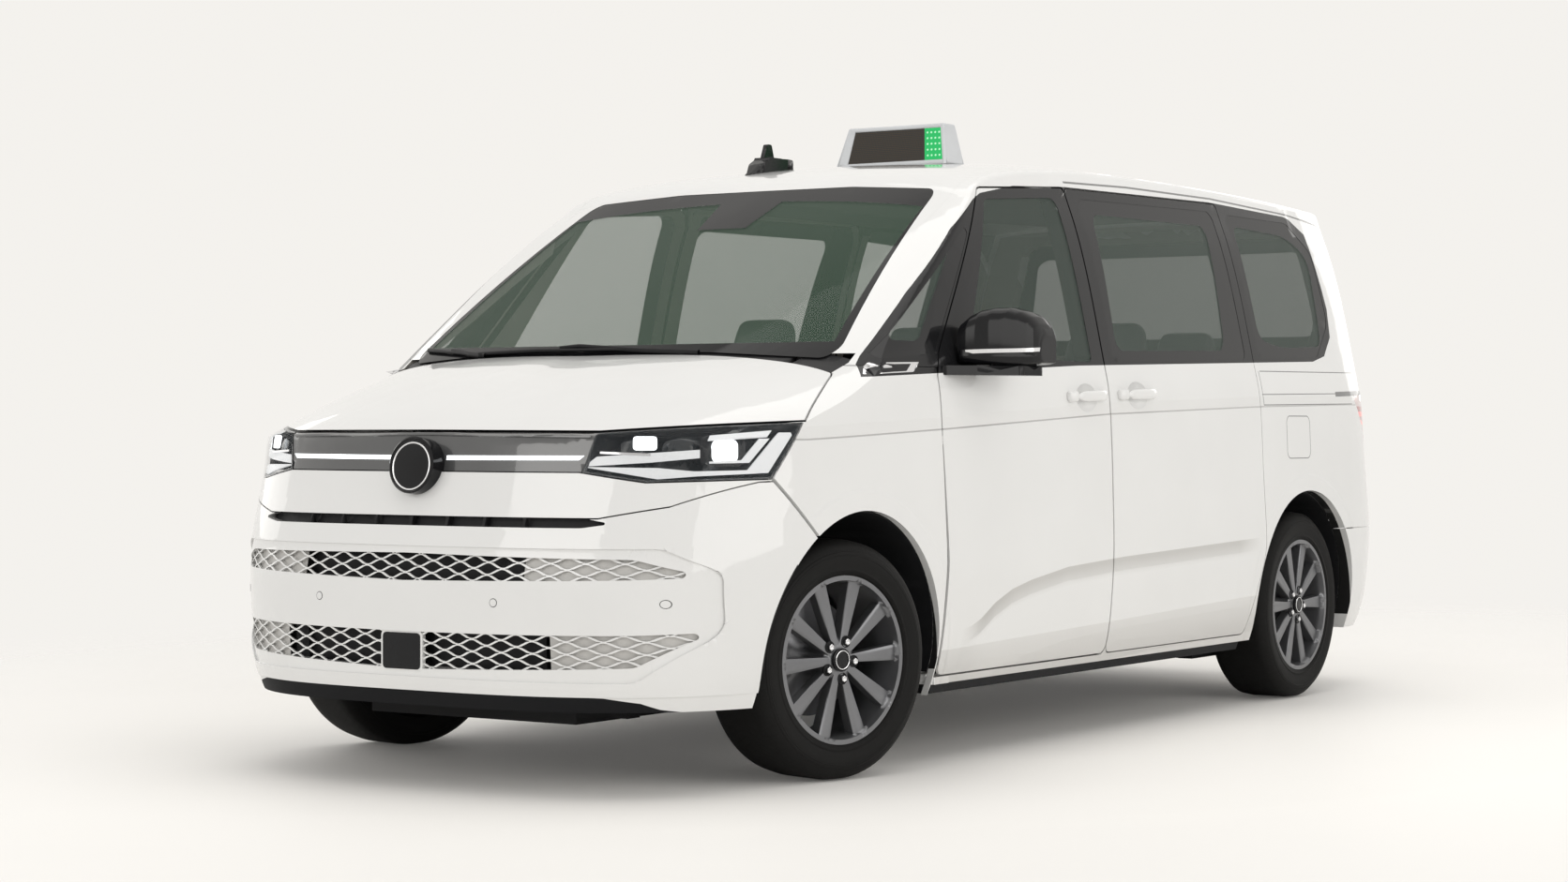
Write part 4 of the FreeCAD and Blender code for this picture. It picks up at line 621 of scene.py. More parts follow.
# %% [markdown]
# ## Smooth panels
# The construction model's meshes are loose triangles, which would show as flat facets on glossy paint. Each
# visible node is copied, its triangles are joined at their corners, and its surface is shaded smooth up to
# its real edges. Weighting the normals by the faces' areas keeps the large faces calm beside the narrow
# ones of the fillets. The faces that look into the cabin take the colour of the trim there. The copy then
# stands for the node.
# %% Smooth panels
body_of = {part: body for body, parts in frame["record"]["behaviour"]["bodies"].items() for part in parts}
SOFT_NODES = ("front_seats", "middle_seats", "rear_bench")
TRIMMED = {**dict.fromkeys((*SIDES, *DOOR_PANELS, "tailgate"), pillar_trim), "roof": roof_lining}
DOUBLES_GAP = 0.00002
PANEL_ANGLE = 14
PART_ANGLE = 32
CABIN_MIDDLE = 1.15
CABIN_FLOOR = 0.45


def select_only(obj):
    bpy.ops.object.select_all(action="DESELECT")
    obj.select_set(True)
    bpy.context.view_layer.objects.active = obj


def looks_inside(face):
    """Whether a face of a body panel above the floor is turned towards the cabin's middle line."""
    place = face.center
    inward = Vector((-0.3 * place.x, -place.y, CABIN_MIDDLE - place.z))
    return place.z > CABIN_FLOOR and face.normal.dot(inward.normalized()) > 0.72


def edit_all(obj, *steps):
    """Runs mesh operators on a whole piece. Each step is an operator and its settings."""
    select_only(obj)
    bpy.ops.object.mode_set(mode="EDIT")
    bpy.ops.mesh.select_all(action="SELECT")
    for operator, settings in steps:
        operator(**settings)
    bpy.ops.object.mode_set(mode="OBJECT")


def press(obj, kind, **settings):
    """Adds one modifier, sets it and applies it."""
    select_only(obj)
    bpy.ops.object.modifier_add(type=kind)
    modifier = obj.modifiers[-1]
    for key, value in settings.items():
        setattr(modifier, key, value)
    bpy.ops.object.modifier_apply(modifier=modifier.name)


def smooth_copy(name):
    """A joined, smoothly shaded copy of a construction node. Panels keep their narrow fillets apart."""
    angle = PANEL_ANGLE if slot_of[name] in ("body_paint", "tinted_glass") else PART_ANGLE
    copy = bpy.data.objects.new(name + "_surface", nodes[name].data.copy())
    bpy.context.collection.objects.link(copy)
    edit_all(copy, (bpy.ops.mesh.remove_doubles, {"threshold": DOUBLES_GAP}))
    bpy.ops.object.shade_smooth_by_angle(angle=math.radians(angle))
    press(copy, "WEIGHTED_NORMAL", mode="FACE_AREA_WITH_ANGLE", weight=70, keep_sharp=True)
    if name in TRIMMED:
        copy.data.materials.append(TRIMMED[name])
        for face in copy.data.polygons:
            face.material_index = int(looks_inside(face))
    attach(copy, body_of[name])
    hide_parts(name)
    return copy


smooth = {name: smooth_copy(name) for name in nodes if name not in SOFT_NODES}

# %% [markdown]
# ## Laying pieces on a panel
# Light guides, badges and trims follow curved panels. Each is drawn as an outline seen from one side of the
# vehicle, as a designer draws it, and every point of it is then dropped onto the panel along that view. The
# piece starts as a flat grid, takes its shape from the drop, and gets its thickness last.
# %% Laying pieces on a panel
LOOK_ASIDE = 0.5866
VIEW_START = 5
skins = {}


def skin(name):
    if name not in skins:
        mesh = nodes[name].data
        points = [vertex.co.copy() for vertex in mesh.vertices]
        skins[name] = BVHTree.FromPolygons(points, [tuple(face.vertices) for face in mesh.polygons])
    return skins[name]


class View:
    """A side from which outlines are drawn: across and up are its axes, and toward points at the vehicle."""

    def __init__(self, toward, across, up=(0, 0, 1)):
        self.toward = Vector(toward)
        self.across = Vector(across)
        self.up = Vector(up)
        self.depth = 4.0

    def touch(self, names, u, v, lift=0.0):
        """Where a line at this place of the view first meets the named nodes, lifted off them a little."""
        start = self.across * u + self.up * v - self.toward * VIEW_START
        hits = [skin(name).ray_cast(start, self.toward) for name in names]
        depths = [hit[3] for hit in hits if hit[0] is not None]
        if depths:
            self.depth = min(depths)
        return start + self.toward * (self.depth - lift)


front_view = View((-1, 0, 0), (0, 1, 0))
left_view = View((0, -1, 0), (1, 0, 0))
rear_view = View((1, 0, 0), (0, -1, 0))
top_view = View((0, 0, -1), (1, 0, 0), (0, 1, 0))
lamp_view = View((-math.cos(LOOK_ASIDE), -math.sin(LOOK_ASIDE), 0),
                 (-math.sin(LOOK_ASIDE), math.cos(LOOK_ASIDE), 0))


def surface(name, columns, rows, place):
    """A grid whose points, at shares s and t of its width and height, are moved to place(s, t)."""
    obj = new_mesh(name, bpy.ops.mesh.primitive_grid_add, x_subdivisions=columns, y_subdivisions=rows, size=2)
    for vertex in obj.data.vertices:
        vertex.co = place((vertex.co.x + 1) / 2, (vertex.co.y + 1) / 2)
    return obj


def along(points, share):
    """A place on a broken line, where share counts its stretches evenly from 0 to 1."""
    spot = share * (len(points) - 1)
    index = min(int(spot), len(points) - 2)
    start, end = Vector(points[index]), Vector(points[index + 1])
    return start.lerp(end, spot - index)


def face_viewer(obj, view):
    """Turns the faces of an open sheet so that they look at the viewer."""
    lean = sum((face.normal * face.area for face in obj.data.polygons), Vector()).dot(view.toward)
    if lean > 0:
        edit_all(obj, (bpy.ops.mesh.flip_normals, {}))


def finished(obj, look, body="shell", slot=None, angle=40):
    """Gives a piece its place, look, smooth shading and body."""
    select_only(obj)
    bpy.ops.object.transform_apply(location=True, rotation=True, scale=True)
    dress(obj, look)
    bpy.ops.object.shade_smooth_by_angle(angle=math.radians(angle))
    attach(obj, body)
    return obj


def closed_outward(obj, gap=0.0002):
    """Merges the doubles of a closed shape and turns its faces outwards."""
    edit_all(obj, (bpy.ops.mesh.remove_doubles, {"threshold": gap}),
             (bpy.ops.mesh.normals_make_consistent, {"inside": False}))


def close_ends(obj):
    """Fills the open ends of a tube."""
    select_only(obj)
    bpy.ops.object.mode_set(mode="EDIT")
    bpy.ops.mesh.select_all(action="DESELECT")
    bpy.ops.mesh.select_mode(type="VERT")
    bpy.ops.mesh.select_non_manifold()
    bpy.ops.mesh.edge_face_add()
    bpy.ops.object.mode_set(mode="OBJECT")


def step_top(obj, steps):
    """Insets a piece's top face again and again, and lifts or sinks it after each inset."""
    bpy.ops.object.mode_set(mode="EDIT")
    bpy.ops.mesh.select_all(action="DESELECT")
    form = bmesh.from_edit_mesh(obj.data)
    for face in form.faces:
        face.select = face.normal.z > 0.9
    for inward, rise in steps:
        bpy.ops.mesh.inset(thickness=inward)
        bpy.ops.transform.translate(value=(0, 0, rise))
    bpy.ops.object.mode_set(mode="OBJECT")


def circle(u, v, radius, corners=12):
    """The corners of a round outline about a place."""
    turns = [k * math.tau / corners for k in range(corners)]
    return [(u + radius * math.cos(turn), v + radius * math.sin(turn)) for turn in turns]


def fuller(value, power):
    """A sine or cosine that turns a circle into a rounded box, the more so the smaller the power."""
    return math.copysign(abs(value) ** power, value)


def mirrored_name(name):
    return name.replace("left", "@").replace("right", "left").replace("@", "right")


def mirrored(obj):
    """The same piece on the vehicle's other side, with its own mesh."""
    twin = obj.copy()
    twin.data = obj.data.copy()
    bpy.context.collection.objects.link(twin)
    twin.parent = None
    twin.data.transform(Matrix.Scale(-1, 4, (0, 1, 0)))
    twin.data.flip_normals()
    twin.name = mirrored_name(obj.name)
    twin.data.name = twin.name
    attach(twin, mirrored_name(obj["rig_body"]))
    return twin


def band(name, view, on, upper, lower, look, lift, thick, cuts=(24, 2), slot=None):
    """A strip between two outlines with as many corners, laid on panels and given a thickness."""
    def place(s, t):
        spot = along(lower, s).lerp(along(upper, s), t)
        return view.touch(on, spot.x, spot.y, lift)

    obj = surface(name, *cuts, place)
    face_viewer(obj, view)
    press(obj, "SOLIDIFY", thickness=thick, offset=-1)
    return finished(obj, look, slot=slot)


def plate(name, view, on, corners, radius, look, lift, thick, body="shell", slot=None, cuts=2):
    """A plate with rounded corners, laid on panels: its outline is bevelled, filled and cut finely."""
    obj = new_mesh(name, bpy.ops.mesh.primitive_circle_add, vertices=len(corners), fill_type="NGON")
    for vertex, corner in zip(obj.data.vertices, corners):
        vertex.co = (*corner, 0)
    halving = (bpy.ops.mesh.subdivide, {"number_cuts": 1})
    edit_all(obj, (bpy.ops.mesh.bevel, {"offset": radius, "segments": 5, "affect": "VERTICES"}),
             (bpy.ops.mesh.select_all, {"action": "SELECT"}),
             (bpy.ops.mesh.quads_convert_to_tris, {}), *[halving] * cuts)
    for vertex in obj.data.vertices:
        vertex.co = view.touch(on, vertex.co.x, vertex.co.y, lift)
    face_viewer(obj, view)
    press(obj, "SOLIDIFY", thickness=thick, offset=-1)
    return finished(obj, look, body, slot)


# %% [markdown]
# ## Headlamps
# Behind the clear cover sit two bright modules, a grey blade, and a white light guide that runs along the
# lower edge and up the outer one. They are seen from ahead and a little to the side, so they are drawn in
# that view and laid a centimetre behind the cover. The right lamp is the left one mirrored.
# %% Headlamps
COVER = ["headlamps"]
DEEP = -0.012


def box_corners(left, right, low, high):
    return [(left, low), (right, low), (right, high), (left, high)]


lamp_pieces = [
    plate("lamp_module_small_left", lamp_view, COVER, box_corners(-0.7155, -0.6495, 0.9530, 0.9905), 0.009,
          lit_white, DEEP, 0.004, cuts=1),
    plate("lamp_bezel_left", lamp_view, COVER, box_corners(-0.5330, -0.4080, 0.9080, 0.9930), 0.022,
          finish["gloss_black"], DEEP - 0.004, 0.004, cuts=1),
    plate("lamp_module_large_left", lamp_view, COVER, box_corners(-0.5000, -0.4290, 0.9180, 0.9820), 0.018,
          lit_white, DEEP, 0.004, cuts=1),
    band("lamp_blade_left", lamp_view, COVER, [(-0.846, 0.9110), (-0.815, 0.9350), (-0.5324, 0.9539)],
         [(-0.838, 0.9090), (-0.6478, 0.9208), (-0.5324, 0.9311)], lit_soft, DEEP + 0.001, 0.005),
    band("lamp_ledge_left", lamp_view, COVER, [(-0.806, 0.9490), (-0.667, 0.9440)],
         [(-0.806, 0.9430), (-0.667, 0.9370)], bright_metal, DEEP + 0.004, 0.003),
    band("lamp_guide_low_left", lamp_view, COVER,
         [(-0.8413, 0.9066), (-0.6477, 0.9042), (-0.5465, 0.8947), (-0.4020, 0.8972)],
         [(-0.8413, 0.9050), (-0.6475, 0.8735), (-0.5393, 0.8813), (-0.3454, 0.8890)],
         lit_soft, DEEP + 0.003, 0.005, (36, 2)),
    band("lamp_guide_side_left", lamp_view, COVER, [(-0.3166, 1.0010), (-0.2830, 1.0010), (-0.2800, 0.9930)],
         [(-0.4020, 0.8972), (-0.3600, 0.8895), (-0.3454, 0.8890)], lit_soft, DEEP + 0.003, 0.005, (12, 12)),
    band("lamp_brow_left", lamp_view, COVER, [(-0.5060, 0.9930), (-0.3365, 1.0070)],
         [(-0.5113, 0.9800), (-0.3480, 0.9905)], lit_soft, DEEP + 0.006, 0.004),
    band("lamp_hook_left", lamp_view, COVER, [(-0.3420, 0.9842), (-0.3977, 0.9174), (-0.5063, 0.9158)],
         [(-0.3700, 0.9842), (-0.4190, 0.9248), (-0.5063, 0.9215)], lit_soft, DEEP + 0.002, 0.004, (24, 2)),
]
for piece in lamp_pieces:
    mirrored(piece)
print("headlamp pieces", 2 * len(lamp_pieces))

# %% [markdown]
# ## Light strip and round badge
# A grey strip joins the two lamps, with a thin lit line along it and a glossy lip along its upper edge. In
# the middle stands a round black badge with a silver ring, and its face is left blank.
# %% Light strip and round badge
STRIP = ["light_strip"]
mirrored(band("strip_light_left", front_view, STRIP, [(0.086, 0.9360), (0.534, 0.9375)],
              [(0.086, 0.9240), (0.520, 0.9255)], lit_white, 0.0012, 0.004, (40, 2)))
mirrored(band("strip_lip_left", front_view, STRIP, [(0.0, 0.9985), (0.548, 0.9925)],
              [(0.0, 0.9935), (0.545, 0.9875)], strip_grey, 0.003, 0.004, (40, 2)))
BADGE_PLACE = Vector((FRONT + 0.866, 0, 0.9065))
BADGE_RADIUS = 0.081
BADGE_DEPTH = 0.05
BADGE_LEAN = math.radians(8)
BADGE_STEPS = ((0.0045, 0.003), (0.0035, -0.004), (0.012, 0.0012), (0.018, 0.0012), (0.02, 0.0012))
RING_FLATNESS = 0.7


def stood_on_nose(obj):
    """Turns a piece that lies flat so that it faces forward, leaning back with the nose."""
    turn = Matrix.Rotation(math.radians(90) - BADGE_LEAN, 4, "Y")
    obj.matrix_world = Matrix.Translation(BADGE_PLACE) @ turn
    return obj


badge = new_mesh("badge", bpy.ops.mesh.primitive_cylinder_add, vertices=96, radius=BADGE_RADIUS,
                 depth=BADGE_DEPTH)
step_top(badge, BADGE_STEPS)
stood_on_nose(badge).location.x -= BADGE_DEPTH / 2
finished(badge, finish["gloss_black"], slot="gloss_black", angle=30)
ring = new_mesh("badge_ring", bpy.ops.mesh.primitive_torus_add, major_radius=0.0665, minor_radius=0.0028,
                major_segments=96, minor_segments=10)
for vertex in ring.data.vertices:
    vertex.co.z *= RING_FLATNESS
stood_on_nose(ring)
finished(ring, bright_metal, slot="gloss_black")

# %% [markdown]
# ## Behind the bumper's honeycombs
# In the middle the cells are open and one sees dark depth through them. Towards the tips they are blind:
# their floors lie just behind the white bars. A dark sheet stands well behind the opening and grey ones
# close behind its tips, each bent like the bumper around it. The grey of the blind floors is painted shade.
# %% Behind the bumper's honeycombs
BUMPER = ["front_bumper"]
BESIDE_OPENING = 0.016
OPEN_DEPTH = 0.045
BLIND_DEPTH = 0.018


def bumper_depth(across, low, high, share):
    """How far forward the bumper would stand in an opening, read from its skin below and above it."""
    under = front_view.touch(BUMPER, across, low - BESIDE_OPENING)
    over = front_view.touch(BUMPER, across, high + BESIDE_OPENING)
    return under.lerp(over, share).x


def backing(name, start, end, low, high, deep, look):
    """A sheet behind an opening, bent as the bumper around it."""
    def place(s, t):
        across = start + (end - start) * s
        return Vector((bumper_depth(across, low, high, t) - deep, across, low + (high - low) * t))

    obj = surface(name, 48, 6, place)
    face_viewer(obj, front_view)
    press(obj, "SOLIDIFY", thickness=0.002, offset=-1)
    return finished(obj, look)


backing("grille_depth_upper", -0.44, 0.44, 0.572, 0.668, OPEN_DEPTH, finish["grille_black"])
backing("grille_depth_lower", -0.52, 0.52, 0.345, 0.455, OPEN_DEPTH, finish["grille_black"])
mirrored(backing("grille_blind_upper_left", 0.40, 0.83, 0.585, 0.664, BLIND_DEPTH, blind_shade))
mirrored(backing("grille_blind_lower_left", 0.48, 0.84, 0.340, 0.452, BLIND_DEPTH, blind_shade))

# %% [markdown]
# ## The honeycomb nets
# The construction model has the open cells in the middle. The real nets have thin bars and run on to the
# tips, so one flat lens-shaped cell is drawn, repeated in staggered rows and bent like the bumper. Each
# cell is sixteen faces: eight of a front rim, and eight of a wall that goes back into the opening.
# %% The honeycomb nets
CELL_WIDE = 0.0965
ROW_STEP = 0.0172
BAR = 0.0026
BAR_ALONG = 5.28
NET_SUNK = 0.006
NET_DEPTH = 0.009
COLUMNS = 10


def lens(centre, share):
    """The outline of one cell, drawn in by a share across and a share up."""
    half, high = CELL_WIDE / 2, ROW_STEP
    outline = [(-half, 0), (-half * 0.36, high * 0.86), (0, high), (half * 0.36, high * 0.86),
               (half, 0), (half * 0.36, -high * 0.86), (0, -high), (-half * 0.36, -high * 0.86)]
    return [(centre[0] + x * share[0], centre[1] + z * share[1]) for x, z in outline]


def honeycomb_net(name, low, high, reach, half_high):
    """Cells whose middles lie within reach and half_high of the net's middle, bent as the bumper is."""
    obj = new_mesh(name, bpy.ops.mesh.primitive_plane_add, size=0.01)
    form = bmesh.new()
    middle = (low + high) / 2
    rows = int((high - low) / ROW_STEP) + 2
    share = (1 - BAR_ALONG * BAR / CELL_WIDE, 1 - BAR / ROW_STEP)

    def add_cell(centre):
        outer, inner = lens(centre, (1, 1)), lens(centre, share)
        rings = []
        for outline, deep in ((outer, NET_SUNK), (inner, NET_SUNK), (inner, NET_SUNK + NET_DEPTH)):
            ring = []
            for across, up in outline:
                skin_x = bumper_depth(across, low, high, (up - low) / (high - low))
                ring.append(form.verts.new((skin_x - deep, across, up)))
            rings.append(ring)
        for first, second in zip(rings, rings[1:]):
            for i in range(len(first)):
                j = (i + 1) % len(first)
                form.faces.new((first[i], first[j], second[j], second[i]))

    for row in range(-rows, rows + 1):
        shift = CELL_WIDE / 2 if row % 2 else 0.0
        for column in range(-COLUMNS, COLUMNS + 1):
            centre = (column * CELL_WIDE + shift, middle + row * ROW_STEP)
            if abs(centre[0]) <= reach and abs(centre[1] - middle) <= half_high:
                add_cell(centre)
    form.to_mesh(obj.data)
    form.free()
    edit_all(obj, (bpy.ops.mesh.remove_doubles, {"threshold": 0.0004}), (bpy.ops.mesh.flip_normals, {}))
    return finished(obj, paint, slot="body_paint", angle=25)


for net in (honeycomb_net("grille_net_upper", 0.588, 0.664, 0.83, 0.045),
            honeycomb_net("grille_net_lower", 0.340, 0.452, 0.84, 0.062)):
    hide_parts("bumper_grilles")
bpy.data.objects.remove(smooth.pop("bumper_grilles"))

# %% [markdown]
# ## Distance sensors
# Small round sensors sit flush in the bumper, painted as it is, each with a fine dark ring around it.
# %% Distance sensors
SENSOR_RADIUS = 0.0108
SENSOR_RING = 0.0125


def flush_sensor(name, view, on, u, v):
    plate(name + "_ring", view, on, circle(u, v, SENSOR_RING), 0.002, finish["gloss_black"],
          0.0005, 0.001, cuts=0)
    plate(name, view, on, circle(u, v, SENSOR_RADIUS), 0.002, paint, 0.0012, 0.0015, cuts=0)


for label, across, up in (("inner_left", 0.319, 0.533), ("outer_left", 0.768, 0.534),
                          ("inner_right", -0.319, 0.533), ("outer_right", -0.768, 0.534)):
    flush_sensor("sensor_" + label, front_view, BUMPER, across, up)

# %% [markdown]
# ## Wheels
# Each wheel has its own axis: the front pair is steered a little to the right, as in the photograph. A matrix
# for every wheel turns a piece that is modelled flat, with its face up, into its place on the hub.
# %% Wheel axes
WHEELS = {
    "front_left": (Vector((1.602485, 0.817377, 0.347286)), Vector((0.220356, 0.975406, -0.005048))),
    "front_right": (Vector((1.546515, -0.817377, 0.347286)), Vector((-0.220356, -0.975406, -0.005048))),
    "rear_left": (Vector((REAR, HALF_TRACK, 0.347)), Vector((0, 1, 0))),
    "rear_right": (Vector((REAR, -HALF_TRACK, 0.347)), Vector((0, -1, 0))),
}
RAY_START = 0.3


def wheel_matrix(label):
    """Flat to wheel: Z becomes the outward axis, Y stays as upright as it can."""
    centre, outward = WHEELS[label]
    across = Vector((0, 0, 1)).cross(outward).normalized()
    upright = outward.cross(across)
    turn = Matrix((across, upright, outward)).transposed().to_4x4()
    return Matrix.Translation(centre) @ turn


def hub_face(label, x, y):
    """How far outward the rim's face stands at this place of the wheel's plane."""
    start = wheel_matrix(label) @ Vector((x, y, RAY_START))
    hit = skin("rim_" + label).ray_cast(start, -WHEELS[label][1])
    return RAY_START - hit[3] if hit[0] is not None else 0.0


# %% [markdown]
# ## Bolts and hub caps
# Five bolts sit in round wells around the hub, and a black cap with a silver ring closes its middle. The cap
# stays blank. One bolt, one well and one cap are modelled flat and copied to every place.
# %% Bolts and hub caps
BOLT_CIRCLE = 0.056
BOLT_START = math.radians(-7)
BOLT_STEPS = ((0.002, 0.0015), (0.003, -0.003))
WELL_STEPS = ((0.002, 0), (0.0015, -0.0025))
CAP_STEPS = ((0.003, 0.0015), (0.002, -0.002), (0.008, 0.0012), (0.008, 0.0006))


def stepped_disc(name, vertices, radius, depth, steps):
    """A flat disc or nut whose face has steps."""
    obj = new_mesh(name, bpy.ops.mesh.primitive_cylinder_add, vertices=vertices, radius=radius, depth=depth)
    step_top(obj, steps)
    return obj


flat_bolt = stepped_disc("flat_bolt", 6, 0.0098, 0.012, BOLT_STEPS)
press(flat_bolt, "BEVEL", width=0.0007, segments=2)
flat_well = stepped_disc("flat_well", 32, 0.0175, 0.004, WELL_STEPS)
flat_cap = stepped_disc("flat_cap", 48, 0.034, 0.012, CAP_STEPS)
flat_ring = new_mesh("flat_ring", bpy.ops.mesh.primitive_torus_add, major_radius=0.0265, minor_radius=0.0017,
                     major_segments=48, minor_segments=8)
patterns = {"bolt": (flat_bolt, bright_metal), "well": (flat_well, finish["grille_black"]),
            "cap": (flat_cap, finish["gloss_black"]), "cap_ring": (flat_ring, bright_metal)}
# The places of each pattern in the wheel's plane, and how far they stand off the rim's face.
places = {"cap": [(0, 0, 0.002)], "cap_ring": [(0, 0, 0.0105)], "bolt": [], "well": []}
for turn in range(5):
    angle = BOLT_START + turn * math.tau / 5
    x, y = BOLT_CIRCLE * math.cos(angle), BOLT_CIRCLE * math.sin(angle)
    places["bolt"].append((x, y, 0.004))
    places["well"].append((x, y, 0.0005))
for label in WHEELS:
    for kind, (pattern, look) in patterns.items():
        for count, (x, y, rise) in enumerate(places[kind]):
            piece = pattern.copy()
            piece.data = pattern.data.copy()
            bpy.context.collection.objects.link(piece)
            piece.name = kind + "_" + label + ("_%d" % (count + 1) if len(places[kind]) > 1 else "")
            out = hub_face(label, x, y) + rise
            piece.matrix_world = wheel_matrix(label) @ Matrix.Translation((x, y, out))
            finished(piece, look, "wheel_" + label, "wheel_alloy")
for pattern, _ in patterns.values():
    bpy.data.objects.remove(pattern)

# %% [markdown]
# ## Tyres
# The tread has four grooves round the tyre, slanted sipes between them and broad cuts over the shoulders. The
# side wall has a rib that guards the rim, a fine ring and a band of short radial ribs at the shoulder. All
# of this is read from the distance to the wheel's axis, the place along it and the angle round it.
# %% Tyres
TREAD_CUTS = 74
WALL_RIBS = 220
# Each groove's distance from the tyre's middle plane and its half width; its depth is in millimetres.
GROOVES = ((0.031, 0.0048), (0.074, 0.0036))
GROOVE_DEPTH = 6
SIPE_DEPTH = 3
SHOULDER_DEPTH = 4


def make_tyre(label):
    centre = WHEELS[label][0]
    sheet = Sheet("tyre_" + label)
    matrix = wheel_matrix(label)
    spans = []
    for column in range(3):
        axis = Vector(matrix.col[column][:3])
        dot = sheet.node("ShaderNodeVectorMath", {"operation": "DOT_PRODUCT"},
                         {0: sheet.place(), 1: tuple(axis)}, output=1)
        spans.append(dot - centre.dot(axis))
    across, up, out = spans
    reach = (across.squared() + up.squared()).root()
    turn = sheet.node("ShaderNodeMath", {"operation": "ARCTAN2"}, {0: across, 1: up}) / math.tau
    aside = out.absolute()
    tread = reach.above(0.3355) * aside.below(0.106)
    height = 0
    for middle, half in GROOVES:
        height = (aside - middle).absolute().below(half) * tread * -GROOVE_DEPTH + height
    sipes = (turn * TREAD_CUTS + aside * 22).fraction().below(0.075)
    height = height - sipes * tread * aside.below(0.08) * SIPE_DEPTH
    shoulder = reach.above(0.322) * aside.above(0.076)
    height = height - (turn * TREAD_CUTS + aside * 9).fraction().below(0.13) * shoulder * SHOULDER_DEPTH
    guard = (1 - (reach - 0.2585).absolute() / 0.006).clamped() * 3
    fine_ring = (1 - (reach - 0.3015).absolute() / 0.0016).clamped() * 1.2
    step = reach.rise(0.3105, 0.3125) * -1.4
    ribs = (turn * WALL_RIBS).fraction().below(0.5) * (reach - 0.3165).absolute().below(0.0035) * 0.6
    height = height + guard + fine_ring + step + ribs + sheet.noise(300.0, 2.0) * 0.25
    patch = sheet.noise(7.0, 4.0).rise(0.3, 0.7)
    sheet.set(Base_Color=sheet.blend(patch, (0.0065, 0.0063, 0.006), (0.009, 0.0088, 0.0086)))
    sheet.set(Roughness=0.62 + patch * 0.08, Specular_IOR_Level=0.15, Normal=sheet.bump(height, 1.0, 0.001))
    return sheet.material


for label in WHEELS:
    dress(smooth["tyre_" + label], make_tyre(label))

# %% [markdown]
# ## Door handles
# Each handle is a bow over a round dish: a grip that stands away from the panel in the middle, and a short
# cap ahead of it. Both are one tube whose height and stand-off change along it.
# %% Door handles
DOORS = ["front_door_left", "sliding_door_left"]
HANDLE_RISE = 0.024
GRIP_HALF = 0.0175
GRIP_THICK = 0.0085
STAND_OFF = 0.004


def bow(name, start, end, body, share):
    """A flat tube along the side from start to end. share keeps a part of its arch."""
    def place(s, t):
        whole = share[0] + (share[1] - share[0]) * s
        x = start[0] + (end[0] - start[0]) * whole
        z = start[1] + (end[1] - start[1]) * whole
        skin_y = left_view.touch(DOORS, x, (start[1] + end[1]) / 2).y
        full = 1 - abs(2 * s - 1) ** 7
        turn = t * math.tau
        proud = STAND_OFF + HANDLE_RISE * (1 - abs(2 * whole - 1) ** 3.2)
        across = fuller(math.cos(turn), 0.7) * GRIP_HALF * (0.35 + 0.65 * full)
        out = fuller(math.sin(turn), 0.8) * GRIP_THICK * (0.2 + 0.8 * full)
        return Vector((x, skin_y + proud + out, z + across))

    obj = surface(name, 40, 20, place)
    closed_outward(obj)
    close_ends(obj)
    return finished(obj, paint, body, "body_paint", 50)


for label, body, start, end in (("front", "door_front_left", (-1236, 1112), (-1503, 1119)),
                                ("sliding", "shell", (-1592, 1121), (-1862, 1127))):
    start, end = from_axle(start, end)
    mirrored(bow("handle_%s_left" % label, start, end, body, (0.17, 1.0)))
    mirrored(bow("handle_cap_%s_left" % label, start, end, body, (0.0, 0.155)))

# %% [markdown]
# ## Mirrors
# The housing is one smooth black shell, thick in the middle and closed round its outer end. It is drawn as
# sections across the vehicle, each a rounded box with its own front, back, bottom and top. A silver strip
# runs round its lower front.
# %% Mirrors
# Each section's place across, front, back, bottom and top. Front and back are measured from the front axle.
SHELL = [(0.944, -0.560, -0.700, 1.206, 1.334), (0.972, -0.562, -0.726, 1.204, 1.358),
         (1.000, -0.569, -0.750, 1.204, 1.372), (1.030, -0.588, -0.778, 1.204, 1.379),
         (1.060, -0.622, -0.804, 1.204, 1.379), (1.086, -0.660, -0.826, 1.205, 1.368),
         (1.106, -0.692, -0.842, 1.207, 1.352), (1.118, -0.718, -0.848, 1.212, 1.330),
         (1.1235, -0.742, -0.846, 1.224, 1.304), (1.1255, -0.778, -0.826, 1.244, 1.276)]
SHELL_FULLNESS = 0.62


def shell_point(s, t):
    sections = [Vector(section[:3]) for section in SHELL]
    heights = [Vector((section[3], section[4])) for section in SHELL]
    y, front, back = along(sections, s)
    low, high = along(heights, s)
    turn = t * math.tau
    across = fuller(math.cos(turn), SHELL_FULLNESS)
    up = fuller(math.sin(turn), SHELL_FULLNESS)
    return Vector((FRONT + (front + back) / 2 + (front - back) / 2 * across, y,
                   (low + high) / 2 + (high - low) / 2 * up))


shell = surface("mirror_shell_left", 54, 64, shell_point)
closed_outward(shell, 0.0004)
close_ends(shell)
finished(shell, finish["gloss_black"], "door_front_left", "gloss_black", 60)
mirrored(shell)


def shell_strip(name, start, end, low, high, look):
    """A strip round the shell's front at these heights, from one place across to another."""
    def place(s, t):
        share = start + (end - start) * s
        rise = low[0] + (low[1] - low[0]) * s if t < 0.5 else high[0] + (high[1] - high[0]) * s
        front_half = (shell_point(share, turn / 400) for turn in range(-100, 101))
        nearest = min(front_half, key=lambda spot: abs(spot.z - rise))
        return Vector((nearest.x + 0.0016, nearest.y + 0.0006 * s, rise))

    obj = surface(name, 40, 1, place)
    face_viewer(obj, lamp_view)
    press(obj, "SOLIDIFY", thickness=0.003, offset=-1)
    return finished(obj, look, "door_front_left", "gloss_black")


mirrored(shell_strip("mirror_strip_left", 0.10, 0.93, (1.237, 1.246), (1.249, 1.258), bright_metal))

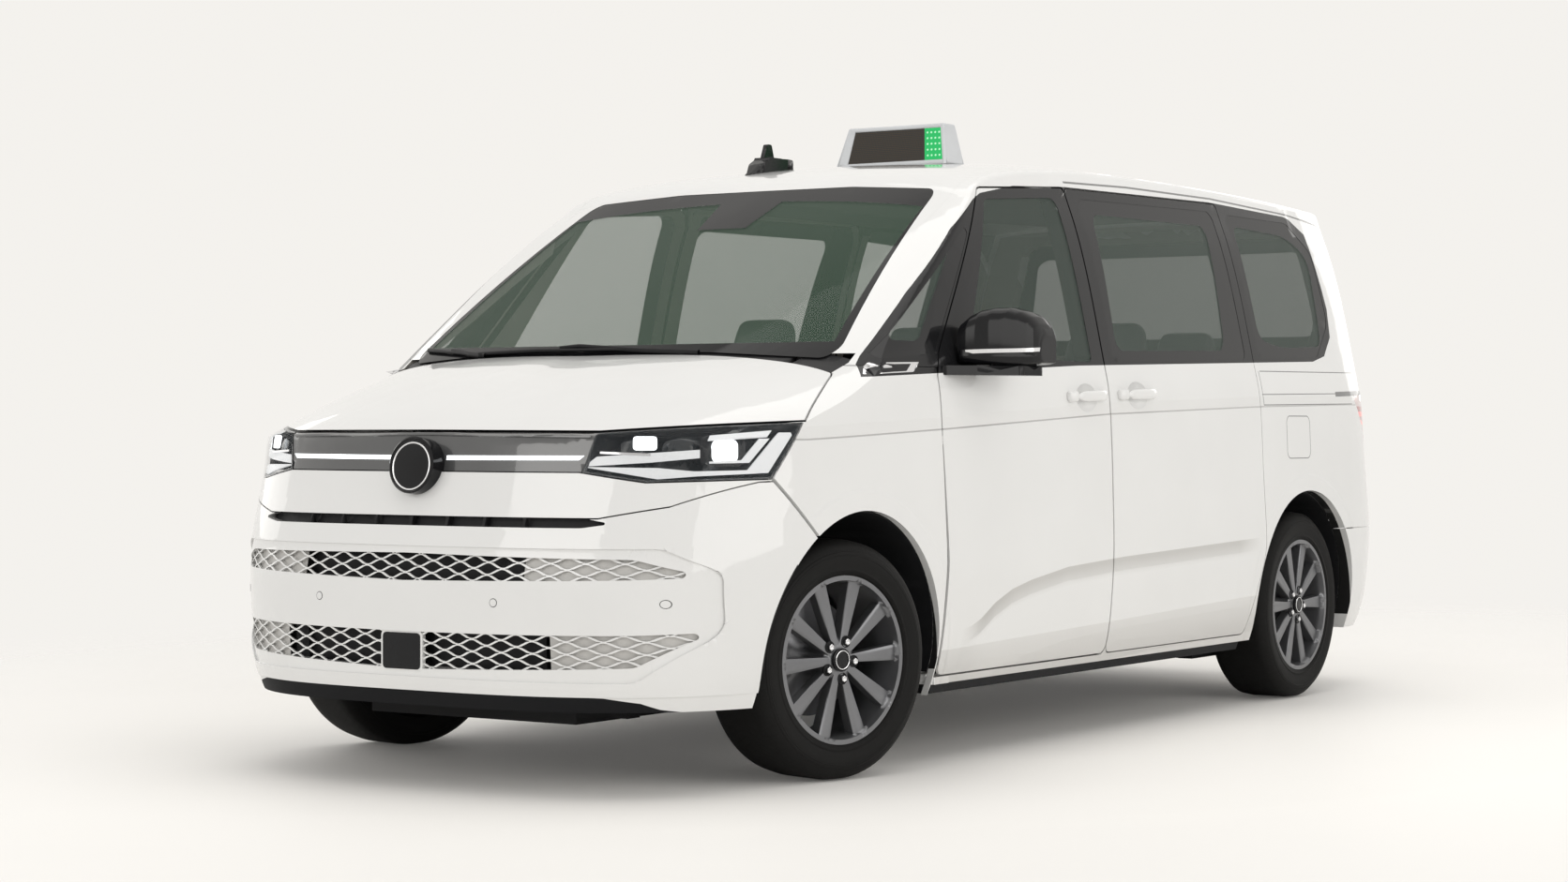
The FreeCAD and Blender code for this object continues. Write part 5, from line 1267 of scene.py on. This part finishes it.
# %% [markdown]
# ## Mirror foot plate
# Ahead of the mirror a small black plate fills the corner below the window. It has a silver frame with a
# wider silver end, and its face is left blank.
# %% Mirror foot plate
CORNER = ["front_wings", "body_side_left"]
frame_corners = from_axle((-66, 1169), (-300, 1179), (-343, 1209), (-122, 1204))
inner_corners = from_axle((-78, 1173), (-262, 1181), (-296, 1203), (-125, 1199))
mirrored(plate("foot_plate_frame_left", left_view, CORNER, [tuple(c) for c in frame_corners], 0.004,
               bright_metal, 0.0016, 0.002, slot="gloss_black"))
mirrored(plate("foot_plate_left", left_view, CORNER, [tuple(c) for c in inner_corners], 0.003,
               finish["gloss_black"], 0.0024, 0.002, slot="gloss_black"))

# %% [markdown]
# ## Wipers
# Two long wipers rest low on the windscreen. Each has a flat arm that thins towards its end, and a slender
# blade of rubber. They follow the glass, so their lines are dropped onto it.
# %% Wipers
SCREEN = ["windscreen", "cowl", "bonnet"]


def wiper(label, points, half, tall):
    """A thin bar on the screen along these places, seen from the front."""
    def place(s, t):
        spot = along(points, s)
        base = front_view.touch(SCREEN, spot.x, spot.y)
        turn = t * math.tau
        thin = 1 - 0.45 * s
        return base + Vector((0.006 + tall + tall * math.cos(turn) * thin, 0, half * math.sin(turn) * thin))

    obj = surface("wiper_" + label, 36, 10, place)
    closed_outward(obj)
    return finished(obj, finish["grille_black"], slot="grille_black", angle=50)


wiper("blade_left", [(-0.46, 1.243), (-0.20, 1.250), (0.10, 1.249), (0.36, 1.241)], 0.007, 0.006)
wiper("arm_left", [(0.40, 1.236), (0.20, 1.245), (-0.05, 1.262), (-0.12, 1.258)], 0.010, 0.007)
wiper("blade_right", [(-0.77, 1.262), (-0.66, 1.255), (-0.55, 1.247), (-0.48, 1.240)], 0.007, 0.006)
wiper("arm_right", [(-0.42, 1.236), (-0.50, 1.243), (-0.58, 1.255), (-0.62, 1.258)], 0.010, 0.007)

# %% [markdown]
# ## Roof sign
# The display is a black matrix of unlit amber dots, with a green panel at its end that carries small white
# lamps. No word is shown on it.
# %% Roof sign
SIGN = ["taxi_sign"]
SIGN_LOW, SIGN_HIGH, GREEN_START = 1.948, 2.062, 0.815
DOT_PITCH = 0.0062
LAMP_ROWS, LAMP_COLUMNS = 5, 4
LAMP_STEP = 0.0158
LAMP_RADIUS = 0.0036


def dot_matrix():
    sheet = Sheet("display_black")
    y, z = sheet.axes()[1:]
    across = (y / DOT_PITCH).fraction() - 0.5
    up = (z / DOT_PITCH).fraction() - 0.5
    dot = (across.squared() + up.squared()).root().below(0.3)
    sheet.set(Base_Color=sheet.blend(dot, (0.006, 0.006, 0.006), (0.045, 0.026, 0.006)), Roughness=0.3)
    return sheet.material


def sign_edge(share):
    """The display's left and right ends at a share of its height."""
    return -0.176 + 0.011 * share, 0.212 - 0.027 * share


low_ends, high_ends = sign_edge(0), sign_edge(1)
low_split = low_ends[0] + (low_ends[1] - low_ends[0]) * GREEN_START
high_split = high_ends[0] + (high_ends[1] - high_ends[0]) * GREEN_START
band("sign_display", front_view, SIGN, [(high_ends[0], SIGN_HIGH), (high_split, SIGN_HIGH)],
     [(low_ends[0], SIGN_LOW), (low_split, SIGN_LOW)], dot_matrix(), 0.0012, 0.002, slot="sign_grey")
band("sign_green", front_view, SIGN, [(high_split, SIGN_HIGH), (high_ends[1], SIGN_HIGH)],
     [(low_split, SIGN_LOW), (low_ends[1], SIGN_LOW)], lit_green, 0.0012, 0.002, slot="sign_grey")
for row in range(LAMP_ROWS):
    rise = (row + 0.75) / (LAMP_ROWS + 0.5)
    start, end = sign_edge(rise)
    up = SIGN_LOW + (SIGN_HIGH - SIGN_LOW) * rise
    for column in range(LAMP_COLUMNS):
        across = start + (end - start) * (GREEN_START + 0.035) + column * LAMP_STEP
        plate("sign_lamp_%d_%d" % (row + 1, column + 1), front_view, SIGN, circle(across, up, LAMP_RADIUS, 8),
              0.0006, lit_dot, 0.0026, 0.002, slot="sign_grey", cuts=0)

# %% [markdown]
# ## Seats
# Each seat has a foam cushion, a back with side bolsters and a headrest on two posts. Foam under a tight
# cover crowns between its edges, so each form starts as a slightly small block with round edges, and cloth
# simulation blows it up a little. The sewn channels are pressed in afterwards. Equal seats share one
# simulation: the finished form is copied to its places.
# %% Foam shapes
HIP = 0.690
LEAN = math.radians(-14)
FOAM_CELL = 0.016
SWELL_LIMIT = 0.010
SWELL_PRESSURE = 4
SWELL_STEPS = 20


def swell(obj):
    """Blows a closed form up by pressure, moving no point further than the limit."""
    before = [vertex.co.copy() for vertex in obj.data.vertices]
    select_only(obj)
    bpy.ops.object.modifier_add(type="CLOTH")
    cloth = obj.modifiers[-1]
    cloth.settings.use_pressure = True
    cloth.settings.uniform_pressure_force = SWELL_PRESSURE
    cloth.settings.effector_weights.gravity = 0
    for step in range(1, SWELL_STEPS + 1):
        bpy.context.scene.frame_set(step)
    bpy.ops.object.modifier_apply(modifier=cloth.name)
    bpy.context.scene.frame_set(1)
    for vertex, place in zip(obj.data.vertices, before):
        move = vertex.co - place
        if move.length > SWELL_LIMIT:
            vertex.co = place + move.normalized() * SWELL_LIMIT


def foam(name, low, high, taper, channels):
    """A foam block between two corners. taper narrows it as it rises, and channels are sewn places:
    a function that gives the distance to the nearest seam, and the depth and half width of its valley."""
    centre = (Vector(low) + Vector(high)) / 2
    half = (Vector(high) - Vector(low)) / 2 - Vector((1, 1, 1)) * SWELL_LIMIT * 0.8
    obj = new_mesh(name, bpy.ops.mesh.primitive_cube_add, size=2)
    for vertex in obj.data.vertices:
        vertex.co = Vector([vertex.co[i] * half[i] for i in range(3)])
    press(obj, "BEVEL", width=min(half) * 0.72, segments=4)
    press(obj, "REMESH", mode="VOXEL", voxel_size=FOAM_CELL)
    for vertex in obj.data.vertices:
        vertex.co.y *= taper(vertex.co.z / half.z)
    swell(obj)
    press(obj, "SUBSURF", levels=1, render_levels=1)
    distance, depth, width = channels
    normals = [vertex.normal.copy() for vertex in obj.data.vertices]
    for vertex, normal in zip(obj.data.vertices, normals):
        sink = max(0.0, 1 - distance(vertex.co) / width)
        vertex.co = vertex.co + centre - normal * depth * sink * sink
    return obj


def seams(aside, cross=None, axis=0):
    """The distance to a pair of seams this far from the middle, and to one across, at a place along axis."""
    def distance(spot):
        near = abs(abs(spot.y) - aside)
        if cross is not None:
            near = min(near, abs(spot[axis] - cross))
        return near
    return distance


def straight(_):
    return 1.0


def narrow_top(share):
    """A back is widest at the shoulders' foot and rounds in towards its top."""
    return 1 - 0.05 * max(share, 0) - 0.16 * max(share - 0.72, 0) / 0.28


def over_housings(share):
    """The bench's back is narrow between the wheel housings and full width above them."""
    return narrow_top(share) * (1 - 0.19 * (1 - min(max((share + 0.38) / 0.2, 0), 1)))


def rest_outline(share):
    return 1 - 0.10 * max(share, -0.4) - 0.10 * max(share - 0.6, 0) / 0.4


forms = {
    "cushion": foam("seat_cushion", (0, -0.26, -0.13), (0.50, 0.26, 0), straight,
                    (seams(0.155, -0.10, 0), 0.009, 0.013)),
    "back": foam("seat_back", (-0.11, -0.26, -0.06), (0, 0.26, 0.54), narrow_top,
                 (seams(0.150, 0.13, 2), 0.009, 0.013)),
    "headrest": foam("seat_headrest", (-0.11, -0.13, 0.58), (-0.02, 0.13, 0.75), rest_outline,
                     (seams(0.105), 0.003, 0.008)),
    "bench_cushion": foam("bench_cushion", (0.02, -0.475, -0.13), (0.50, 0.475, 0), straight,
                          (seams(0.20, -0.10, 0), 0.009, 0.013)),
    "bench_back": foam("bench_back", (-0.11, -0.585, -0.06), (0, 0.585, 0.52), over_housings,
                       (seams(0.20, 0.13, 2), 0.009, 0.013)),
}

# %% [markdown]
# ## Covers
# The front seats are dark. The rows behind them have pale leather with dark headrests. Leather has a
# fine pebble grain, broad creases and a tone that is darker in random patches.
# %% Covers


def leather(name, worn, fresh, rough):
    sheet = Sheet(name)
    pebble = sheet.node("ShaderNodeTexVoronoi", {}, {"Vector": sheet.place(), "Scale": 420.0})
    crease = sheet.noise(22.0, 5.0, 0.6)
    tone = sheet.noise(7.0, 3.0).rise(0.35, 0.7)
    sheet.set(Base_Color=sheet.blend(tone, worn, fresh), Roughness=rough + crease * 0.12)
    sheet.set(Normal=sheet.bump(pebble * 0.35 + crease, 0.5, 0.0012), Sheen_Weight=0.15)
    return sheet.material


covers = {
    "dark": leather("leather_dark", (0.030, 0.031, 0.034), (0.046, 0.048, 0.052), 0.42),
    "pale": leather("leather_pale", (0.36, 0.335, 0.30), (0.47, 0.44, 0.40), 0.40),
}
POST_ASIDE = 0.05
# Each row's node, hip, places across, cover and slot.
SEAT_ROWS = (("front_seats", 0.2445, (0.43, -0.43), "dark", "seat_dark"),
             ("middle_seats", -0.7955, (0.43, -0.43), "pale", "seat_light"))


def placed(form, name, hip, y, look, slot, node, leaning=True):
    """A copy of a foam form at a seat's hip, leaning back with the seat's back where it belongs to that."""
    obj = bpy.data.objects.new(name, forms[form].data.copy())
    bpy.context.collection.objects.link(obj)
    obj.data.name = name
    turn = Matrix.Rotation(LEAN, 4, "Y") if leaning else Matrix.Identity(4)
    obj.data.transform(Matrix.Translation((hip, y, HIP)) @ turn)
    finished(obj, covers[look], slot=slot, angle=70)
    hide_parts(node)
    return obj


def post(name, hip, y, top):
    """A bright headrest post that stands out of the back."""
    obj = new_mesh(name, bpy.ops.mesh.primitive_cylinder_add, vertices=20, radius=0.0062, depth=0.085)
    press(obj, "BEVEL", width=0.0015, segments=2)
    obj.data.transform(Matrix.Translation((hip, 0, HIP)) @ Matrix.Rotation(LEAN, 4, "Y")
                       @ Matrix.Translation((-0.062, y, top)))
    return finished(obj, bright_metal, slot="cabin_dark")


def base(name, hip, y, half_wide, node, slot):
    """The moulded box under a cushion, narrower at its foot."""
    obj = new_mesh(name, bpy.ops.mesh.primitive_cube_add, size=2)
    for vertex in obj.data.vertices:
        low = vertex.co.z < 0
        vertex.co = Vector((hip + 0.23 + vertex.co.x * (0.175 if low else 0.19),
                            y + vertex.co.y * half_wide * (0.93 if low else 1.0), 0.333 if low else 0.575))
    press(obj, "BEVEL", width=0.022, segments=4)
    finished(obj, finish["cabin_dark"], slot=slot)
    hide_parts(node)


def posts(label, hip, y, top):
    for number, aside in ((1, -POST_ASIDE), (2, POST_ASIDE)):
        post("%s_%d" % (label, number), hip, y + aside, top)


for node, hip, places, look, slot in SEAT_ROWS:
    for side, y in zip(("left", "right"), places):
        label = node.replace("seats", side)
        placed("cushion", label + "_cushion", hip, y, look, slot, node, leaning=False)
        placed("back", label + "_back", hip, y, look, slot, node)
        placed("headrest", label + "_headrest", hip, y, "dark", slot, node)
        base(label + "_base", hip, y, 0.20, node, slot)
        posts(label + "_post", hip, y, 0.560)
BENCH = ("seat_light", "rear_bench")
BENCH_HIP = -1.446
placed("bench_cushion", "rear_bench_cushion", BENCH_HIP, 0, "pale", *BENCH, leaning=False)
placed("bench_back", "rear_bench_back", BENCH_HIP, 0, "pale", *BENCH)
base("rear_bench_base", BENCH_HIP, 0, 0.44, "rear_bench", "seat_light")
for number, y in ((1, -0.4), (2, 0.0), (3, 0.4)):
    rest = placed("headrest", "rear_bench_headrest_%d" % number, BENCH_HIP, y, "dark", *BENCH)
    rest.data.transform(Matrix.Translation((0.005, 0, -0.019)))
    posts("rear_bench_post_%d" % number, BENCH_HIP, y, 0.538)
for form in forms.values():
    bpy.data.objects.remove(form)

# %% [markdown]
# ## Radar plate and lower corners
# A black plate in a white frame stands in the middle of the lower honeycomb, where the distance radar looks
# out. It stays blank. At both ends of the bumper the white skin reaches lower than in its middle.
# %% Radar plate and lower corners
RADAR_X = 2.474
radar_view = View((-1, 0, 0), (0, 1, 0))
radar_view.depth = VIEW_START - RADAR_X
plate("radar_frame", radar_view, [], box_corners(-0.082, 0.069, 0.331, 0.446), 0.016, paint, 0.0, 0.014)
plate("radar_plate", radar_view, [], box_corners(-0.0745, 0.0615, 0.3375, 0.4395), 0.012,
      finish["gloss_black"], 0.0022, 0.006)
APRON_EDGE = [(0.50, 0.282), (0.62, 0.277), (0.70, 0.262), (0.735, 0.244), (0.78, 0.234)]


def make_apron():
    """Black in the middle, and white as the bumper above a line that falls towards the corners."""
    sheet = Sheet("apron")
    y, z = sheet.axes()[1:]
    white = (z - y.absolute().broken_line(APRON_EDGE)).rise(-0.0005, 0.0005)
    grain = sheet.noise(700.0, 1.0)
    sheet.set(Base_Color=sheet.blend(white, (0.009, 0.0093, 0.0105), (0.81, 0.81, 0.80)))
    sheet.set(Roughness=0.6 - white * 0.28, Specular_IOR_Level=0.12, Normal=sheet.bump(grain, 0.2, 0.0002))
    return sheet.material


dress(smooth["front_apron"], make_apron())

# %% [markdown]
# ## Tail lamps
# The lamps are deep red below and pale at their tops, with two bright red guides under the pale part. The
# lenses are smooth, so what lies behind them is drawn into the material by its height.
# %% Tail lamps


def make_tail_lamp():
    sheet = Sheet("tail_lamp")
    x, _, z = sheet.axes()
    ribs = (x * 90).fraction().below(0.12) * 0.25
    pale = z.rise(1.090, 1.094)
    red = sheet.blend(ribs, (0.42, 0.010, 0.012), (0.12, 0.004, 0.005))
    upper_guide = (z - 1.062).absolute().below(0.009)
    lower_guide = (z - 1.452 - x * 0.2).absolute().below(0.007)
    guides = upper_guide.greater(lower_guide)
    sheet.set(Base_Color=sheet.blend(pale, red, (0.74, 0.56, 0.55)), Roughness=0.12, Coat_Weight=1.0)
    sheet.set(Emission_Color=sheet.blend(guides, (0.0, 0.0, 0.0), (1.0, 0.05, 0.03)), Emission_Strength=0.7)
    return sheet.material


dress(smooth["tail_lamps"], make_tail_lamp())

# %% [markdown]
# ## Tailgate fittings
# The gate carries a blank number plate with a hood over it, a wiper at the glass's foot and a high brake
# lamp over the glass. They all swing up with it.
# %% Tailgate fittings
GATE = ["tailgate", "tailgate_glass"]
HUB = (0.0, 1.338)
plate_white = grained("number_plate", (0.80, 0.80, 0.78), 0.35, 900, 0.00005)
# Each fitting's name, outline, corner radius, look, lift off the gate, thickness and slot.
FITTINGS = (
    ("number_plate_holder", box_corners(-0.268, 0.268, 0.838, 0.960), 0.012, finish["lower_black"],
     0.003, 0.004, "lower_black"),
    ("number_plate", box_corners(-0.260, 0.260, 0.844, 0.954), 0.010, plate_white,
     0.006, 0.003, "lower_black"),
    ("plate_lamp_hood", box_corners(-0.300, 0.300, 0.984, 1.014), 0.010, finish["gloss_black"],
     0.004, 0.006, "gloss_black"),
    ("gate_handle", box_corners(-0.090, 0.090, 0.990, 1.006), 0.006, finish["lower_black"],
     0.010, 0.006, "lower_black"),
    ("brake_lamp_high", box_corners(-0.150, 0.150, 1.812, 1.828), 0.006, finish["lamp_red"],
     0.002, 0.004, "lamp_red"),
    ("rear_wiper_arm", [(-0.012, 1.335), (0.012, 1.335), (0.330, 1.362), (0.325, 1.376)], 0.004,
     finish["grille_black"], 0.012, 0.006, "grille_black"),
    ("rear_wiper_blade", [(0.060, 1.352), (0.460, 1.372), (0.460, 1.380), (0.060, 1.360)], 0.002,
     finish["grille_black"], 0.006, 0.005, "grille_black"),
    ("rear_wiper_hub", circle(*HUB, 0.026), 0.004, finish["grille_black"], 0.008, 0.010, "grille_black"),
)
for name, corners, radius, look, lift, thick, slot in FITTINGS:
    plate(name, rear_view, GATE, corners, radius, look, lift, thick, "tailgate", slot)

# %% [markdown]
# ## Rear bumper fittings
# Two red reflectors sit low at the corners and four sensors between them, flush as in front.
# %% Rear bumper fittings
TAIL_BUMPER = ["rear_bumper"]
mirrored(plate("rear_reflector_left", rear_view, TAIL_BUMPER, box_corners(-0.800, -0.690, 0.500, 0.530),
               0.006, finish["lamp_red"], 0.001, 0.002, slot="lamp_red"))
for label, across in (("outer_left", -0.640), ("inner_left", -0.230),
                      ("inner_right", 0.230), ("outer_right", 0.640)):
    flush_sensor("rear_sensor_" + label, rear_view, TAIL_BUMPER, across, 0.470)
on_step = band("load_edge_guard", top_view, TAIL_BUMPER, [(-2.445, 0.560), (-2.445, -0.560)],
               [(-2.405, 0.560), (-2.405, -0.560)], finish["lower_black"], 0.0012, 0.002, (30, 2))
